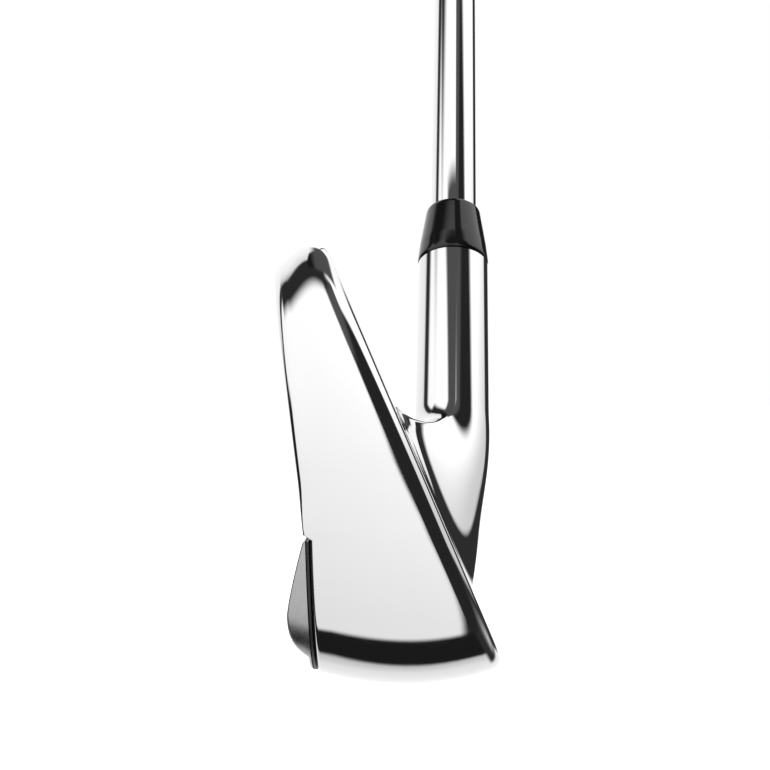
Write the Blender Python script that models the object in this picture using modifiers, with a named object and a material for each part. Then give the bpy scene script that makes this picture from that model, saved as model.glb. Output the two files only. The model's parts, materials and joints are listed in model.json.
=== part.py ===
"""A right-handed iron golf club standing at address.

The face looks towards -Y, the toe points to -X and the shaft leans towards +X. All lengths below are
in millimetres, in a frame whose origin is on the shaft's axis, 0.6 mm above the sole's lowest line;
everything hangs from an empty that puts the world's origin in the middle of the grip, where the hands
hold the club.
"""

import math

import bmesh
import bpy
from mathutils import Matrix, Vector

MM = 0.001
GAP = 0.3  # clearance between neighbouring pieces
THIN_GAP = 0.1  # clearance between pieces that share an axis or lie in one stack

# Club
LIE = math.radians(61.5)
LOFT = math.radians(25.0)
CLUB_LENGTH = 971.5  # from this frame's origin to the butt, along the shaft
HANDS_BELOW_BUTT = 110.5

# Face plane: it leans back by the loft and passes through FACE_Y at the height FACE_Z
FACE_Y = 12.9
FACE_Z = 39.0
FACE_THICKNESS = 2.3

# Outline of the head seen from the front
HEEL_X = -8.0  # where the blade ends and the neck begins
SOLE_MID_X = -38.0
SOLE_EDGE_Z = 1.6
SOLE_RADIUS = 400.0  # heel to toe
LOWER_TOE_X = -59.0  # end of the sole's arc
TIP_X = -78.6
TIP_Z = 31.0
PEAK_X = -55.0  # end of the straight topline
PEAK_Z = 57.6
PEAK_BLEND = 8.0  # half the length over which the back stops following the topline's slope
TOPLINE_SLOPE = math.radians(21.5)
# Bezier handles of the toe's curve: at the sole's end, below and above the tip, and at the peak
LOWER_TOE_PULL = 13.5
TIP_LOW_PULL = (0.5, -15.5)
TIP_HIGH_PULL = (-0.45, 14.5)
PEAK_PULL = 14.5

# Blade section
TOPLINE_THICKNESS = 6.2
TOPLINE_DROP = 4.0  # how much lower the topline's rear edge lies than its front edge
SEAT_Y = 20.05  # the badge seat's depth at the ground height
SEAT_LEAN = 0.05
LEDGE_Z = 20.3  # top of the badge seat
LEDGE_DEPTH = 0.95
LEDGE_HEIGHT = 0.6
BACK_BOW = -0.3
SOLE_BACK_Z = 0.5
FRONT_ROUND = 2.3
BACK_ROUND_LOW = 0.5  # round of the rear edge below the ledge
BACK_ROUND_HIGH = 1.5  # the same above it
BACK_ROUND_START = 1.0  # from the ledge to where the round starts to grow
BACK_ROUND_GROWTH = 6.0
SOLE_CROWN = 1.65
WALL_CROWN = 0.3

# Neck and hosel, with distances along the shaft's axis
HOSEL_RADIUS = 7.05
HOSEL_START = 38.0
HOSEL_TOP = 72.4
HOSEL_CHAMFER = 0.4
BORE_RADIUS = 5.2
BORE_BOTTOM = 39.0
BORE_OVERRUN = 5.0  # how far the bore's cutter stands out of the hosel
NECK_HEEL_PULL = (26.0, 23.0)  # Bezier handles of the neck's heel side, at the blade and at the hosel
NECK_TOE_PULL = (13.0, 8.0)  # the same for its toe side
NECK_FRONT_PULL = (8.0, 20.0)  # the same for its front
NECK_FRONT_SWELL = 0.85  # how far the front's handles lean forwards
# Angles round the hosel that the section's corners lead to, in degrees from the heel side over the rear:
# leading edge, rear edge of the sole, rear and front edge of the topline, and the leading edge again
NECK_CORNERS = (-60.0, 50.0, 115.0, 175.0, 300.0)

# Hollow body
REAR_WALL = 2.0
CORE_CLEARANCE = 0.8  # between the core and the rear wall with its port plug
CORE_HEEL_X = -14.0
CAVITY_MARGIN = 5.0  # from the head's outline to the cavity
CAVITY_TOP_DROP = 5.0  # how much lower the cavity's rear lies than its front below the topline
INSERT_MARGIN = 3.2  # rim of the body left around the face insert
INSERT_HEEL_X = -12.5
PORT_RADIUS = 3.2
PORT_X = -36.0
PORT_Z = 11.0
PORT_DEPTH = 6.0
PORT_RISE = 2.0  # how far the port's cutter stands out of the seat
SOCKET_RADIUS = 1.5
SOCKET_SHARE = 0.6  # of the plug's thickness

# Scorelines
LINE_COUNT = 13
LINE_PITCH = 3.6
LINE_WIDTH = 0.85
LINE_DEPTH = 0.4
LINE_HEEL_X = -20.0
LINE_TOE_X = -61.0
FIRST_LINE_Z = 7.0
SCORE_CLEARANCE = 5.5  # from the topline to the ends of the high lines
LINE_FLOOR_SHARE = 0.4  # width of a line's floor as a share of its mouth

# Badge layers, as distances from the seat, and the dense weights as (low corner, high corner)
BADGE_HEEL_X = -13.0
BADGE_MARGIN = 0.5
ADHESIVE_MARGIN = 2.0
ADHESIVE_OUTER = 0.2
BACKING_OUTER = 0.62
BADGE_INNER = 0.72
BADGE_FULL = 3.5
BADGE_FULL_Z = 10.5
BADGE_SOLE_FALL = 14.0
BADGE_TOP_CURVE = 1.2  # 1 would be a straight slope from the full thickness up to the ledge
BADGE_TOP_SHARE = 0.25  # part of the margin that is kept along the ledge
BADGE_TOP_CLEAR = 1.0  # least height between the outline's last low point and its top
BADGE_CORNER_RUN = 9.0  # length of sole edge left out beside the heel end's lower corner
SECTION_OVERRUN = 3.0  # how far a layer's section runs past the badge above and below
RAMP_OVERRUN = 4.0  # the same for the block that slopes off its heel end
BADGE_LEAST = 0.3  # least thickness of the plate
BADGE_CORNER = 3.0  # reach of the cut corners at the heel end
BADGE_HEEL_THICKNESS = 1.3  # of the plate's outer side over the seat, at its heel end
BADGE_HEEL_SLOPE = 0.35  # rise of that side per millimetre towards the toe
BADGE_RAMP_END_X = -24.0
BADGE_STEPS = 14
BADGE_BLANK_Y = (15.0, 32.0)
BADGE_BLANK_X = (-85.0, 0.0)
WEIGHT_BEVEL = 1.0
WEIGHT_POCKET_DEPTH = 6.0  # how far a weight's pocket reaches towards the sole
WEIGHTS = (
    ("toe_weight", (-59.0, 5.4, 9.4), (-46.0, 16.0, 16.4)),
    ("heel_weight", (-31.0, 4.4, 8.0), (-19.5, 15.0, 13.0)),
)

# Corners between sole, toe and topline, from the toe's tip to where the rows and columns of faces meet
LOW_CORNER_INSET = 9.0
HIGH_CORNER_INSET = 10.0

# Mesh resolution
COLUMNS = 12
LOW_ROWS = 3
HIGH_ROWS = 6
NECK_RINGS = 9
ROUND_STEPS = 3
WALL_STEPS = 3
BACK_STEPS = 2
OUTLINE_SAMPLES = 48
INNER_SAMPLES = 14
SMOOTH_BELOW = 35.0  # degrees between faces

# Shaft, grip and the pieces on them
TIP_RADIUS = 4.7
BUTT_RADIUS = 7.62
TIP_END = 41.0
FIRST_STEP = 215.0
STEP_PITCH = 31.0
STEP_COUNT = 13
STEP_LENGTH = 1.2
SHAFT_WALL = 0.9
TIP_CHAMFER = 0.5
TIP_WEIGHT_LENGTH = 22.0
FERRULE_LENGTH = 12.6
FERRULE_TOP_RADIUS = 5.6
FERRULE_SIDES = 32
# Ferrule's outer side from its top to its foot: distance from the top's or the hosel's radius, then
# from that end
FERRULE_TOP_EDGE = ((-0.5, 0.0), (-0.1, 0.2), (0.05, 0.8))
FERRULE_FOOT_EDGE = ((-0.28, 4.0), (0.02, 1.0), (0.02, 0.2), (-0.15, 0.0))
BAND_LOW = 618.0
BAND_LENGTH = 62.0
BAND_THICKNESS = 0.12
GRIP_LENGTH = 267.0
GRIP_MOUTH_RADIUS = 9.3
GRIP_BUTT_RADIUS = 13.0
GRIP_TAPER_POWER = 1.25
GRIP_STEPS = 10
GRIP_MOUTH_EDGE = (0.4, 1.0)  # across and along the axis
GRIP_BORE_RADIUS = 8.05
TAPE_THICKNESS = 0.2
TAPE_SHOWS = 4.0
CAP_LENGTH = 6.0
CAP_RADIUS = 13.3
# Cap's rounded edge: distance inside its radius and below its top
CAP_EDGE = ((2.6, 0.0), (1.2, 0.4), (0.35, 1.3), (0.0, 2.6))
CAP_FOOT_INSET = 0.1
CAP_BOSS_RADIUS = 6.2
CAP_BOSS_LENGTH = 4.0
VENT_RADIUS = 1.8
TURNED_SIDES = 24

# Colour, metallic and roughness of each material
FINISHES = {
    "polished_chrome": ((0.80, 0.81, 0.82), 1.0, 0.06),
    "blasted_steel": ((0.62, 0.63, 0.64), 1.0, 0.32),
    "brushed_badge": ((0.45, 0.46, 0.47), 1.0, 0.30),
    "black_polymer": ((0.012, 0.012, 0.013), 0.0, 0.35),
    "gloss_black": ((0.006, 0.006, 0.007), 0.0, 0.08),
    "foam_tape": ((0.10, 0.10, 0.10), 0.0, 0.80),
    "plug_steel": ((0.50, 0.50, 0.52), 1.0, 0.35),
    "urethane": ((0.55, 0.12, 0.45), 0.0, 0.55),
    "dense_alloy": ((0.28, 0.28, 0.29), 1.0, 0.45),
    "epoxy": ((0.70, 0.62, 0.40), 0.0, 0.30),
    "brass": ((0.72, 0.55, 0.25), 1.0, 0.25),
    "printed_band": ((0.05, 0.05, 0.06), 0.0, 0.25),
    "tape": ((0.75, 0.70, 0.55), 0.0, 0.75),
    "grip_rubber": ((0.020, 0.020, 0.021), 0.0, 0.65),
}

SHAFT_LEAN = math.pi / 2 - LIE
SHAFT_AXIS = Vector((math.sin(SHAFT_LEAN), 0.0, math.cos(SHAFT_LEAN)))
FACE_NORMAL = Vector((0.0, -math.cos(LOFT), math.sin(LOFT)))
WORLD_SHIFT = -SHAFT_AXIS * (CLUB_LENGTH - HANDS_BELOW_BUTT)


# ---------------------------------------------------------------- scene helpers


def clear_scene():
    for obj in list(bpy.data.objects):
        bpy.data.objects.remove(obj, do_unlink=True)


def new_collection(name):
    collection = bpy.data.collections.new(name)
    bpy.context.scene.collection.children.link(collection)
    return collection


def make_material(name):
    color, metallic, roughness = FINISHES[name]
    material = bpy.data.materials.new(name)
    material.use_nodes = True
    shader = material.node_tree.nodes["Principled BSDF"]
    shader.inputs["Base Color"].default_value = (*color, 1.0)
    shader.inputs["Metallic"].default_value = metallic
    shader.inputs["Roughness"].default_value = roughness


def add_empty(name, location, collection, parent=None, lean=0.0):
    empty = bpy.data.objects.new(name, None)
    empty.location = location
    empty.rotation_euler = (0.0, lean, 0.0)
    empty.parent = parent
    collection.objects.link(empty)
    return empty


def add_mesh_object(name, mesh, parent, collection, material=None):
    obj = bpy.data.objects.new(name, mesh)
    obj.parent = parent
    collection.objects.link(obj)
    if material is not None:
        mesh.materials.append(bpy.data.materials[material])
    return obj


def mesh_from_points(name, points, faces):
    """A mesh from points in millimetres, smooth except where faces meet at a sharper angle."""
    mesh = bpy.data.meshes.new(name)
    mesh.from_pydata([tuple(Vector(p) * MM) for p in points], [], faces)
    mesh.update()
    mesh.shade_smooth()
    mesh.set_sharp_from_angle(angle=math.radians(SMOOTH_BELOW))
    return mesh


def mark_as_cutter(obj):
    obj.hide_render = True
    obj.display_type = "WIRE"
    return obj


def cut(obj, cutter):
    modifier = obj.modifiers.new("cut_" + cutter.name, "BOOLEAN")
    modifier.operation = "DIFFERENCE"
    modifier.solver = "EXACT"
    modifier.object = cutter


def smooth_step(value, low, high):
    t = min(max((value - low) / (high - low), 0.0), 1.0)
    return t * t * (3.0 - 2.0 * t)


def level_off(value, limit, blend):
    """The value itself above the limit, easing into the limit below it."""
    excess = value - limit
    if excess >= blend:
        return value
    if excess <= -blend:
        return limit
    return limit + (excess + blend) ** 2 / (4.0 * blend)


def bezier(points, t):
    """Point at t on the Bezier curve with these control points."""
    while len(points) > 1:
        points = [a.lerp(b, t) for a, b in zip(points, points[1:])]
    return points[0]


# ---------------------------------------------------------------- turned pieces


def turned(name, profile, parent, collection, material=None, sides=TURNED_SIDES):
    """A ring turned about the shaft's axis.

    The profile is a closed loop of (radius, distance along the axis) that runs down the outer side
    and back up the inner side.
    """
    mesh = bpy.data.meshes.new(name)
    points = [(radius * MM, 0.0, along * MM) for radius, along in profile]
    edges = [(i, (i + 1) % len(points)) for i in range(len(points))]
    mesh.from_pydata(points, edges, [])
    obj = add_mesh_object(name, mesh, parent, collection, material)
    screw = obj.modifiers.new("turn", "SCREW")
    screw.axis = "Z"
    screw.steps = sides
    screw.render_steps = sides
    screw.use_merge_vertices = True
    screw.merge_threshold = 0.00001
    screw.use_smooth_shade = True
    return obj


def round_bar(name, radius, ends, parent, collection, material=None, sides=TURNED_SIDES):
    """A solid round bar along Z between two heights."""
    low, high = ends
    bm = bmesh.new()
    bmesh.ops.create_cone(
        bm,
        cap_ends=True,
        segments=sides,
        radius1=radius * MM,
        radius2=radius * MM,
        depth=(high - low) * MM,
        matrix=Matrix.Translation((0.0, 0.0, (low + high) / 2 * MM)),
    )
    mesh = bpy.data.meshes.new(name)
    bm.to_mesh(mesh)
    bm.free()
    mesh.shade_smooth()
    mesh.set_sharp_from_angle(angle=math.radians(SMOOTH_BELOW))
    return add_mesh_object(name, mesh, parent, collection, material)


# ---------------------------------------------------------------- outline of the head


def topline_z(x):
    return PEAK_Z - (x - PEAK_X) * math.tan(TOPLINE_SLOPE)


def sole_edge_z(x):
    return SOLE_EDGE_Z + (x - SOLE_MID_X) ** 2 / (2 * SOLE_RADIUS)


def outline(samples=OUTLINE_SAMPLES):
    """The head's front view as two lists of (x, z): heel to toe tip below, heel to toe tip above."""
    sole_end = Vector((LOWER_TOE_X, sole_edge_z(LOWER_TOE_X)))
    sole_slope = (LOWER_TOE_X - SOLE_MID_X) / SOLE_RADIUS
    tip = Vector((TIP_X, TIP_Z))
    peak = Vector((PEAK_X, PEAK_Z))
    lower = []
    for i in range(samples):
        x = HEEL_X + (LOWER_TOE_X - HEEL_X) * i / samples
        lower.append(Vector((x, sole_edge_z(x))))
    lower_curve = [
        sole_end,
        sole_end + Vector((-1.0, -sole_slope)).normalized() * LOWER_TOE_PULL,
        tip + Vector(TIP_LOW_PULL),
        tip,
    ]
    upper_curve = [
        peak,
        peak + Vector((-math.cos(TOPLINE_SLOPE), math.sin(TOPLINE_SLOPE))) * PEAK_PULL,
        tip + Vector(TIP_HIGH_PULL),
        tip,
    ]
    upper = [Vector((HEEL_X, topline_z(HEEL_X)))]
    for i in range(samples + 1):
        lower.append(bezier(lower_curve, i / samples))
        upper.append(bezier(upper_curve, i / samples))
    return lower, upper


def inset(path, distance, side):
    """The path moved sideways; side is 1 to the left of its direction and -1 to the right."""
    moved = []
    for i, point in enumerate(path):
        along = path[min(i + 1, len(path) - 1)] - path[max(i - 1, 0)]
        normal = Vector((-along.y, along.x)).normalized() * side
        moved.append(point + normal * distance)
    return moved


def at_x(path, x):
    """Height of the path at x, on the stretch before its tip."""
    for a, b in zip(path, path[1:]):
        if b.x <= x <= a.x and a.x > b.x:
            return a.y + (b.y - a.y) * (a.x - x) / (a.x - b.x)
    return path[0].y if x > path[0].x else path[-1].y


def at_z(path, z):
    """Distance x of the path's toe end at the height z."""
    for a, b in zip(reversed(path), list(reversed(path))[1:]):
        if min(a.y, b.y) <= z <= max(a.y, b.y) and a.y != b.y:
            return a.x + (b.x - a.x) * (z - a.y) / (b.y - a.y)
    return path[-1].x


def rear_drop(z):
    """How much lower the rim's rear edge lies than its front edge at the height z."""
    low = SOLE_EDGE_Z - SOLE_BACK_Z
    share = min(max((z - SOLE_EDGE_Z) / (PEAK_Z - SOLE_EDGE_Z), 0.0), 1.0)
    return low + (TOPLINE_DROP - low) * share


def toe_x(lower, upper, z):
    tip_z = lower[-1].y
    return at_z(lower, z) if z < tip_z else at_z(upper, z)


def face_y(z):
    return FACE_Y + (z - FACE_Z) * math.tan(LOFT)


def seat_y(z):
    return SEAT_Y + SEAT_LEAN * z


def rear_y(x, z):
    """Depth of the head's back surface."""
    if z < LEDGE_Z + LEDGE_HEIGHT / 2:
        return seat_y(z)
    edge_z = topline_z(level_off(x, PEAK_X, PEAK_BLEND))
    top_z = edge_z - TOPLINE_DROP
    top_y = face_y(edge_z) + TOPLINE_THICKNESS
    ledge = LEDGE_DEPTH * smooth_step(-x, -HEEL_X + 1.0, -HEEL_X + 9.0)
    start_z = LEDGE_Z + LEDGE_HEIGHT
    start_y = seat_y(start_z) + ledge
    t = (z - start_z) / (top_z - start_z)
    return start_y + (top_y - start_y) * t + BACK_BOW * 4 * t * (1 - t)


# ---------------------------------------------------------------- head shell


def spread(low, high, count):
    return [low + (high - low) * i / count for i in range(count + 1)]


def row_heights(low, high, low_rows, high_rows):
    """Heights of a back column: rows on the badge seat, then rows above its ledge."""
    return spread(low, LEDGE_Z, low_rows) + spread(LEDGE_Z + LEDGE_HEIGHT, high, high_rows)


def rim_section(front, rear, inward, rear_inward, outward, crown, back_round, steps):
    """Points from the face plane over the rim to the back surface, at one place of the outline.

    front and rear are the rim's sharp corners; inward and rear_inward lead from them along the face
    and along the back; outward is the rim's outer side. The crown keeps the rim slightly convex.
    """
    round_steps, wall_steps = steps
    across = (rear - front).normalized()
    start = front + across * FRONT_ROUND
    end = rear - across * back_round
    bulge = front.lerp(rear, 0.5) + outward * 2 * crown
    tangent = (bulge - start).normalized()
    reach = FACE_NORMAL.dot(start - front) / FACE_NORMAL.dot(tangent)
    corner = start - tangent * reach
    points = []
    for i in range(round_steps):
        points.append(bezier([front + inward * FRONT_ROUND, corner, start], i / round_steps))
    for i in range(wall_steps + 1):
        points.append(bezier([start, bulge, end], i / wall_steps))
    for i in range(1, BACK_STEPS + 1):
        points.append(bezier([end, rear, rear + rear_inward * back_round], i / BACK_STEPS))
    return points


def outline_corners(lower, upper):
    """Where the outline turns from the sole to the toe and from the toe to the topline, as x."""
    return lower[-1].x + LOW_CORNER_INSET, upper[-1].x + HIGH_CORNER_INSET


def blade_strip(columns, low_rows, high_rows, steps):
    """The rim of the blade as sections: from the heel under the sole, up the toe, back along the topline."""
    lower, upper = outline()
    low_corner_x, high_corner_x = outline_corners(lower, upper)
    rows = row_heights(
        SOLE_BACK_Z + at_x(lower, low_corner_x) - SOLE_EDGE_Z,
        at_x(upper, high_corner_x) - TOPLINE_DROP,
        low_rows,
        high_rows,
    )
    places = [(x, at_x(lower, x), None) for x in spread(HEEL_X, low_corner_x, columns)]
    low_shift = places[-1][1] - rows[0]
    for j in range(1, len(rows) - 1):
        share = j / (len(rows) - 1)
        z = rows[j] + low_shift + (TOPLINE_DROP - low_shift) * share
        places.append((toe_x(lower, upper, z), z, rows[j]))
    for x in reversed(spread(HEEL_X, high_corner_x, columns)):
        places.append((x, at_x(upper, x), at_x(upper, x) - TOPLINE_DROP))
    strip = []
    for k, (x, z, rear_z) in enumerate(places):
        before = places[max(k - 1, 0)]
        after = places[min(k + 1, len(places) - 1)]
        along = Vector((after[0] - before[0], 0.0, after[1] - before[1])).normalized()
        outward = Vector((-along.z, 0.0, along.x))
        if rear_z is None:
            rear_z = SOLE_BACK_Z + z - SOLE_EDGE_Z
        front = Vector((x, face_y(z), z))
        rear = Vector((x, rear_y(x, rear_z), rear_z))
        inward = Vector((-outward.x, -outward.z * math.tan(LOFT), -outward.z)).normalized()
        rear_inward = Vector((-outward.x, -outward.z * SEAT_LEAN, -outward.z)).normalized()
        crown = WALL_CROWN + (SOLE_CROWN - WALL_CROWN) * max(0.0, -outward.z) ** 2
        growth_z = LEDGE_Z + BACK_ROUND_START
        above_ledge = smooth_step(rear_z, growth_z, growth_z + BACK_ROUND_GROWTH)
        back_round = BACK_ROUND_LOW + (BACK_ROUND_HIGH - BACK_ROUND_LOW) * above_ledge
        strip.append(rim_section(front, rear, inward, rear_inward, outward, crown, back_round, steps))
    return strip


def fill_grid(strip, columns, rows, pick):
    """A grid of points inside the edge that pick takes from the strip, as [column][row].

    Each column is spread between the sole and the topline, then pulled towards the toe's curve.
    """
    low = [pick(strip[i]) for i in range(columns + 1)]
    high = [pick(strip[len(strip) - 1 - i]) for i in range(columns + 1)]
    toe = [pick(strip[columns + j]) for j in range(rows + 1)]
    toe_chord = toe[-1] - toe[0]
    shares = [(point - toe[0]).dot(toe_chord) / toe_chord.length_squared for point in toe]
    grid = []
    for i in range(columns + 1):
        column = []
        for j in range(rows + 1):
            point = low[i].lerp(high[i], shares[j])
            strays = toe[j] - toe[0].lerp(toe[-1], shares[j])
            column.append(point + strays * (i / columns) ** 2)
        grid.append(column)
    return grid


def lay_on_back(grid, low_rows, high_rows):
    """Moves the inner points of a back grid onto the back surface, with one row on each side of the ledge."""
    for column in grid:
        heights = row_heights(column[0].z, column[-1].z, low_rows, high_rows)
        for j in range(1, len(column) - 1):
            column[j].z = heights[j]
            column[j].y = rear_y(column[j].x, heights[j])


def ring_angles(loop, corners):
    """Angle round the hosel for each point of a blade section, spread evenly between its corners."""
    angles = [0.0] * len(loop)
    for quarter, (first, last) in enumerate(zip(corners, corners[1:] + [len(loop)])):
        lengths = [0.0]
        for k in range(first, last):
            lengths.append(lengths[-1] + (loop[(k + 1) % len(loop)] - loop[k]).length)
        low, high = NECK_CORNERS[quarter], NECK_CORNERS[quarter + 1]
        for k in range(first, last):
            angles[k] = math.radians(low + (high - low) * lengths[k - first] / lengths[-1])
    return angles


def hosel_point(angle, along, radius):
    """A point round the shaft's axis; angle 0 is the heel side and a quarter turn is the rear."""
    side = Vector((math.cos(SHAFT_LEAN), 0.0, -math.sin(SHAFT_LEAN))) * math.cos(angle)
    return SHAFT_AXIS * along + (side + Vector((0.0, math.sin(angle), 0.0))) * radius


def neck_loops(loop, next_loop, corners, rings):
    """Sections that lead from the blade's heel section to a ring round the hosel."""
    angles = ring_angles(loop, corners)
    loops = []
    for ring in range(1, rings + 1):
        section = []
        for point, neighbour, angle in zip(loop, next_loop, angles):
            share = (1 + math.cos(angle)) / 2
            front = max(0.0, -math.sin(angle))
            swell = Vector((0.0, -NECK_FRONT_SWELL * front, 0.0))
            blade_pull = NECK_TOE_PULL[0] + (NECK_HEEL_PULL[0] - NECK_TOE_PULL[0]) * share
            hosel_pull = NECK_TOE_PULL[1] + (NECK_HEEL_PULL[1] - NECK_TOE_PULL[1]) * share
            blade_pull += (NECK_FRONT_PULL[0] - blade_pull) * front
            hosel_pull += (NECK_FRONT_PULL[1] - hosel_pull) * front
            target = hosel_point(angle, HOSEL_START, HOSEL_RADIUS)
            handles = [
                point,
                point + (point - neighbour).normalized() * blade_pull + swell,
                target - SHAFT_AXIS * hosel_pull + swell,
                target,
            ]
            section.append(bezier(handles, ring / rings))
        loops.append(section)
    chamfer = ((HOSEL_TOP - HOSEL_CHAMFER, HOSEL_RADIUS), (HOSEL_TOP, HOSEL_RADIUS - HOSEL_CHAMFER))
    for along, radius in chamfer:
        loops.append([hosel_point(angle, along, radius) for angle in angles])
    return loops


def head_mesh(name, columns, low_rows, high_rows, steps, rings):
    """The closed outside of the head, from the toe to the top of the hosel."""
    rows = low_rows + 1 + high_rows
    strip = blade_strip(columns, low_rows, high_rows, steps)
    face = fill_grid(strip, columns, rows, lambda section: section[0])
    back = fill_grid(strip, columns, rows, lambda section: section[-1])
    lay_on_back(back, low_rows, high_rows)
    points = []
    faces = []

    def add(point):
        points.append(point)
        return len(points) - 1

    strip_ids = [[add(point) for point in section] for section in strip]

    def grid_ids(grid, end):
        ids = [[None] * (rows + 1) for _ in range(columns + 1)]
        for i in range(columns + 1):
            for j in range(rows + 1):
                if j == 0:
                    ids[i][j] = strip_ids[i][end]
                elif j == rows:
                    ids[i][j] = strip_ids[len(strip_ids) - 1 - i][end]
                elif i == columns:
                    ids[i][j] = strip_ids[columns + j][end]
                else:
                    ids[i][j] = add(grid[i][j])
        return ids

    def skin(ids):
        for a, b in zip(ids, ids[1:]):
            for k in range(len(a) - 1):
                faces.append((a[k], a[k + 1], b[k + 1], b[k]))

    face_ids = grid_ids(face, 0)
    back_ids = grid_ids(back, -1)
    skin(strip_ids)
    skin(face_ids)
    skin(back_ids)

    def section_ids(column):
        top = strip_ids[len(strip_ids) - 1 - column]
        return strip_ids[column] + back_ids[column][1:-1] + top[::-1] + face_ids[column][-2:0:-1]

    width = len(strip_ids[0])
    corners = [0, width - 1, width + rows - 1, 2 * width + rows - 2]
    first = section_ids(0)
    loop = [points[k] for k in first]
    next_loop = [points[k] for k in section_ids(1)]
    closed = [first + first[:1]]
    for section in neck_loops(loop, next_loop, corners, rings):
        ids = [add(point) for point in section]
        closed.append(ids + ids[:1])
    skin(closed)
    faces.append(tuple(closed[-1][:-1]))
    return closed_mesh(name, points, faces)


def closed_mesh(name, points, faces):
    """A closed mesh with its faces turned outwards."""
    mesh = mesh_from_points(name, points, faces)
    bm = bmesh.new()
    bm.from_mesh(mesh)
    bmesh.ops.recalc_face_normals(bm, faces=bm.faces)
    bm.to_mesh(mesh)
    bm.free()
    return mesh


# ---------------------------------------------------------------- shapes inside and on the head


def inner_outline(distance, heel_x, samples=INNER_SAMPLES):
    """The head's front view moved inwards, cut straight at heel_x, as one loop of (x, z)."""
    lower, upper = outline(samples)
    lower = inset(lower, distance, -1)
    upper = inset(upper, distance, 1)
    low = [Vector((heel_x, at_x(lower, heel_x)))] + [point for point in lower if point.x < heel_x - 1.0]
    high = [Vector((heel_x, at_x(upper, heel_x)))] + [point for point in upper if point.x < heel_x - 1.0]
    keep_low = [low[0]] + low[len(low) - samples - 1 :]
    keep_high = [high[0]] + high[len(high) - samples - 1 : -1]
    return keep_low + keep_high[::-1]


def face_plate(name, distance, heel_x, front, thickness):
    """A flat plate in the face plane; front is how far its outer side lies inside that plane."""
    loop = inner_outline(distance, heel_x)
    count = len(loop)
    points = []
    for depth in (front, front + thickness):
        for x, z in loop:
            points.append(Vector((x, face_y(z), z)) - FACE_NORMAL * depth)
    faces = [tuple(range(count)), tuple(range(2 * count - 1, count - 1, -1))]
    for k in range(count):
        after = (k + 1) % count
        faces.append((k, k + count, after + count, after))
    return closed_mesh(name, points, faces)


def core_hull(name, distance, heel_x, front, rear_gap):
    """A convex block behind the face plate, which fills the cavity between two depths.

    front is counted from the face plane, and rear_gap from the cavity's rear wall.
    """
    bm = bmesh.new()
    loop = inner_outline(distance, heel_x)
    low_z = min(z for _, z in loop)
    for x, z in loop:
        share = (z - low_z) / (PEAK_Z - low_z)
        rear_z = z - CAVITY_TOP_DROP * share
        near = Vector((x, face_y(z), z))
        far = Vector((x, rear_y(x, rear_z) - REAR_WALL, rear_z))
        depth = far.y - near.y
        bm.verts.new(near.lerp(far, front / depth) * MM)
        bm.verts.new(near.lerp(far, 1.0 - rear_gap / depth) * MM)
        if z > LEDGE_Z:
            bm.verts.new(Vector((x, seat_y(LEDGE_Z) - REAR_WALL - rear_gap, LEDGE_Z)) * MM)
    bmesh.ops.convex_hull(bm, input=bm.verts)
    loose = [vert for vert in bm.verts if not vert.link_faces]
    bmesh.ops.delete(bm, geom=loose, context="VERTS")
    mesh = bpy.data.meshes.new(name)
    bm.to_mesh(mesh)
    bm.free()
    return mesh


def block_mesh(name, low, high, radius=0.0):
    """A box between two corners, with rounded edges."""
    bm = bmesh.new()
    middle = (Vector(low) + Vector(high)) / 2 * MM
    size = (Vector(high) - Vector(low)) * MM
    bmesh.ops.create_cube(bm, size=1.0, matrix=Matrix.Translation(middle) @ Matrix.Diagonal((*size, 1.0)))
    if radius:
        bmesh.ops.bevel(bm, geom=bm.edges[:], offset=radius * MM, segments=2, affect="EDGES", profile=0.5)
    mesh = bpy.data.meshes.new(name)
    bm.to_mesh(mesh)
    bm.free()
    return mesh


def prism_mesh(name, loop, low, high, axis):
    """A flat outline extruded along X or Y."""
    points = []
    for depth in (low, high):
        for a, b in loop:
            points.append(Vector((depth, a, b)) if axis == "X" else Vector((a, depth, b)))
    count = len(loop)
    faces = [tuple(range(count)), tuple(range(2 * count - 1, count - 1, -1))]
    for k in range(count):
        after = (k + 1) % count
        faces.append((k, k + count, after + count, after))
    return closed_mesh(name, points, faces)


def badge_outline(distance):
    """Front view of the badge seat, moved inwards, as one loop of (x, z)."""
    lower, _ = outline(INNER_SAMPLES)
    lower = [Vector((point.x, point.y - rear_drop(point.y))) for point in inset(lower, distance, -1)]
    heel_x = BADGE_HEEL_X - distance
    low_z = at_x(lower, BADGE_HEEL_X)
    top_z = LEDGE_Z - distance * BADGE_TOP_SHARE
    loop = [Vector((heel_x, low_z + BADGE_CORNER)), Vector((heel_x - BADGE_CORNER, low_z))]
    last_x, last_z = heel_x - BADGE_CORNER_RUN, top_z - BADGE_TOP_CLEAR
    loop += [point for point in lower if point.x < last_x and point.y < last_z]
    loop.append(Vector((at_z(lower, top_z), top_z)))
    loop.append(Vector((heel_x - BADGE_CORNER, top_z)))
    loop.append(Vector((heel_x, top_z - BADGE_CORNER)))
    return loop


def badge_section(inner, outer):
    """Section of a badge layer as (y, z): a line along the seat, then the outer side from top to bottom.

    inner and outer are distances from the badge seat; outer is a function of the height.
    """
    low_z, high_z = -SECTION_OVERRUN, LEDGE_Z + SECTION_OVERRUN
    loop = [(seat_y(low_z) + inner, low_z), (seat_y(high_z) + inner, high_z)]
    for k in range(BADGE_STEPS + 1):
        z = high_z + (low_z - high_z) * k / BADGE_STEPS
        loop.append((seat_y(z) + outer(z), z))
    return loop


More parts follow.
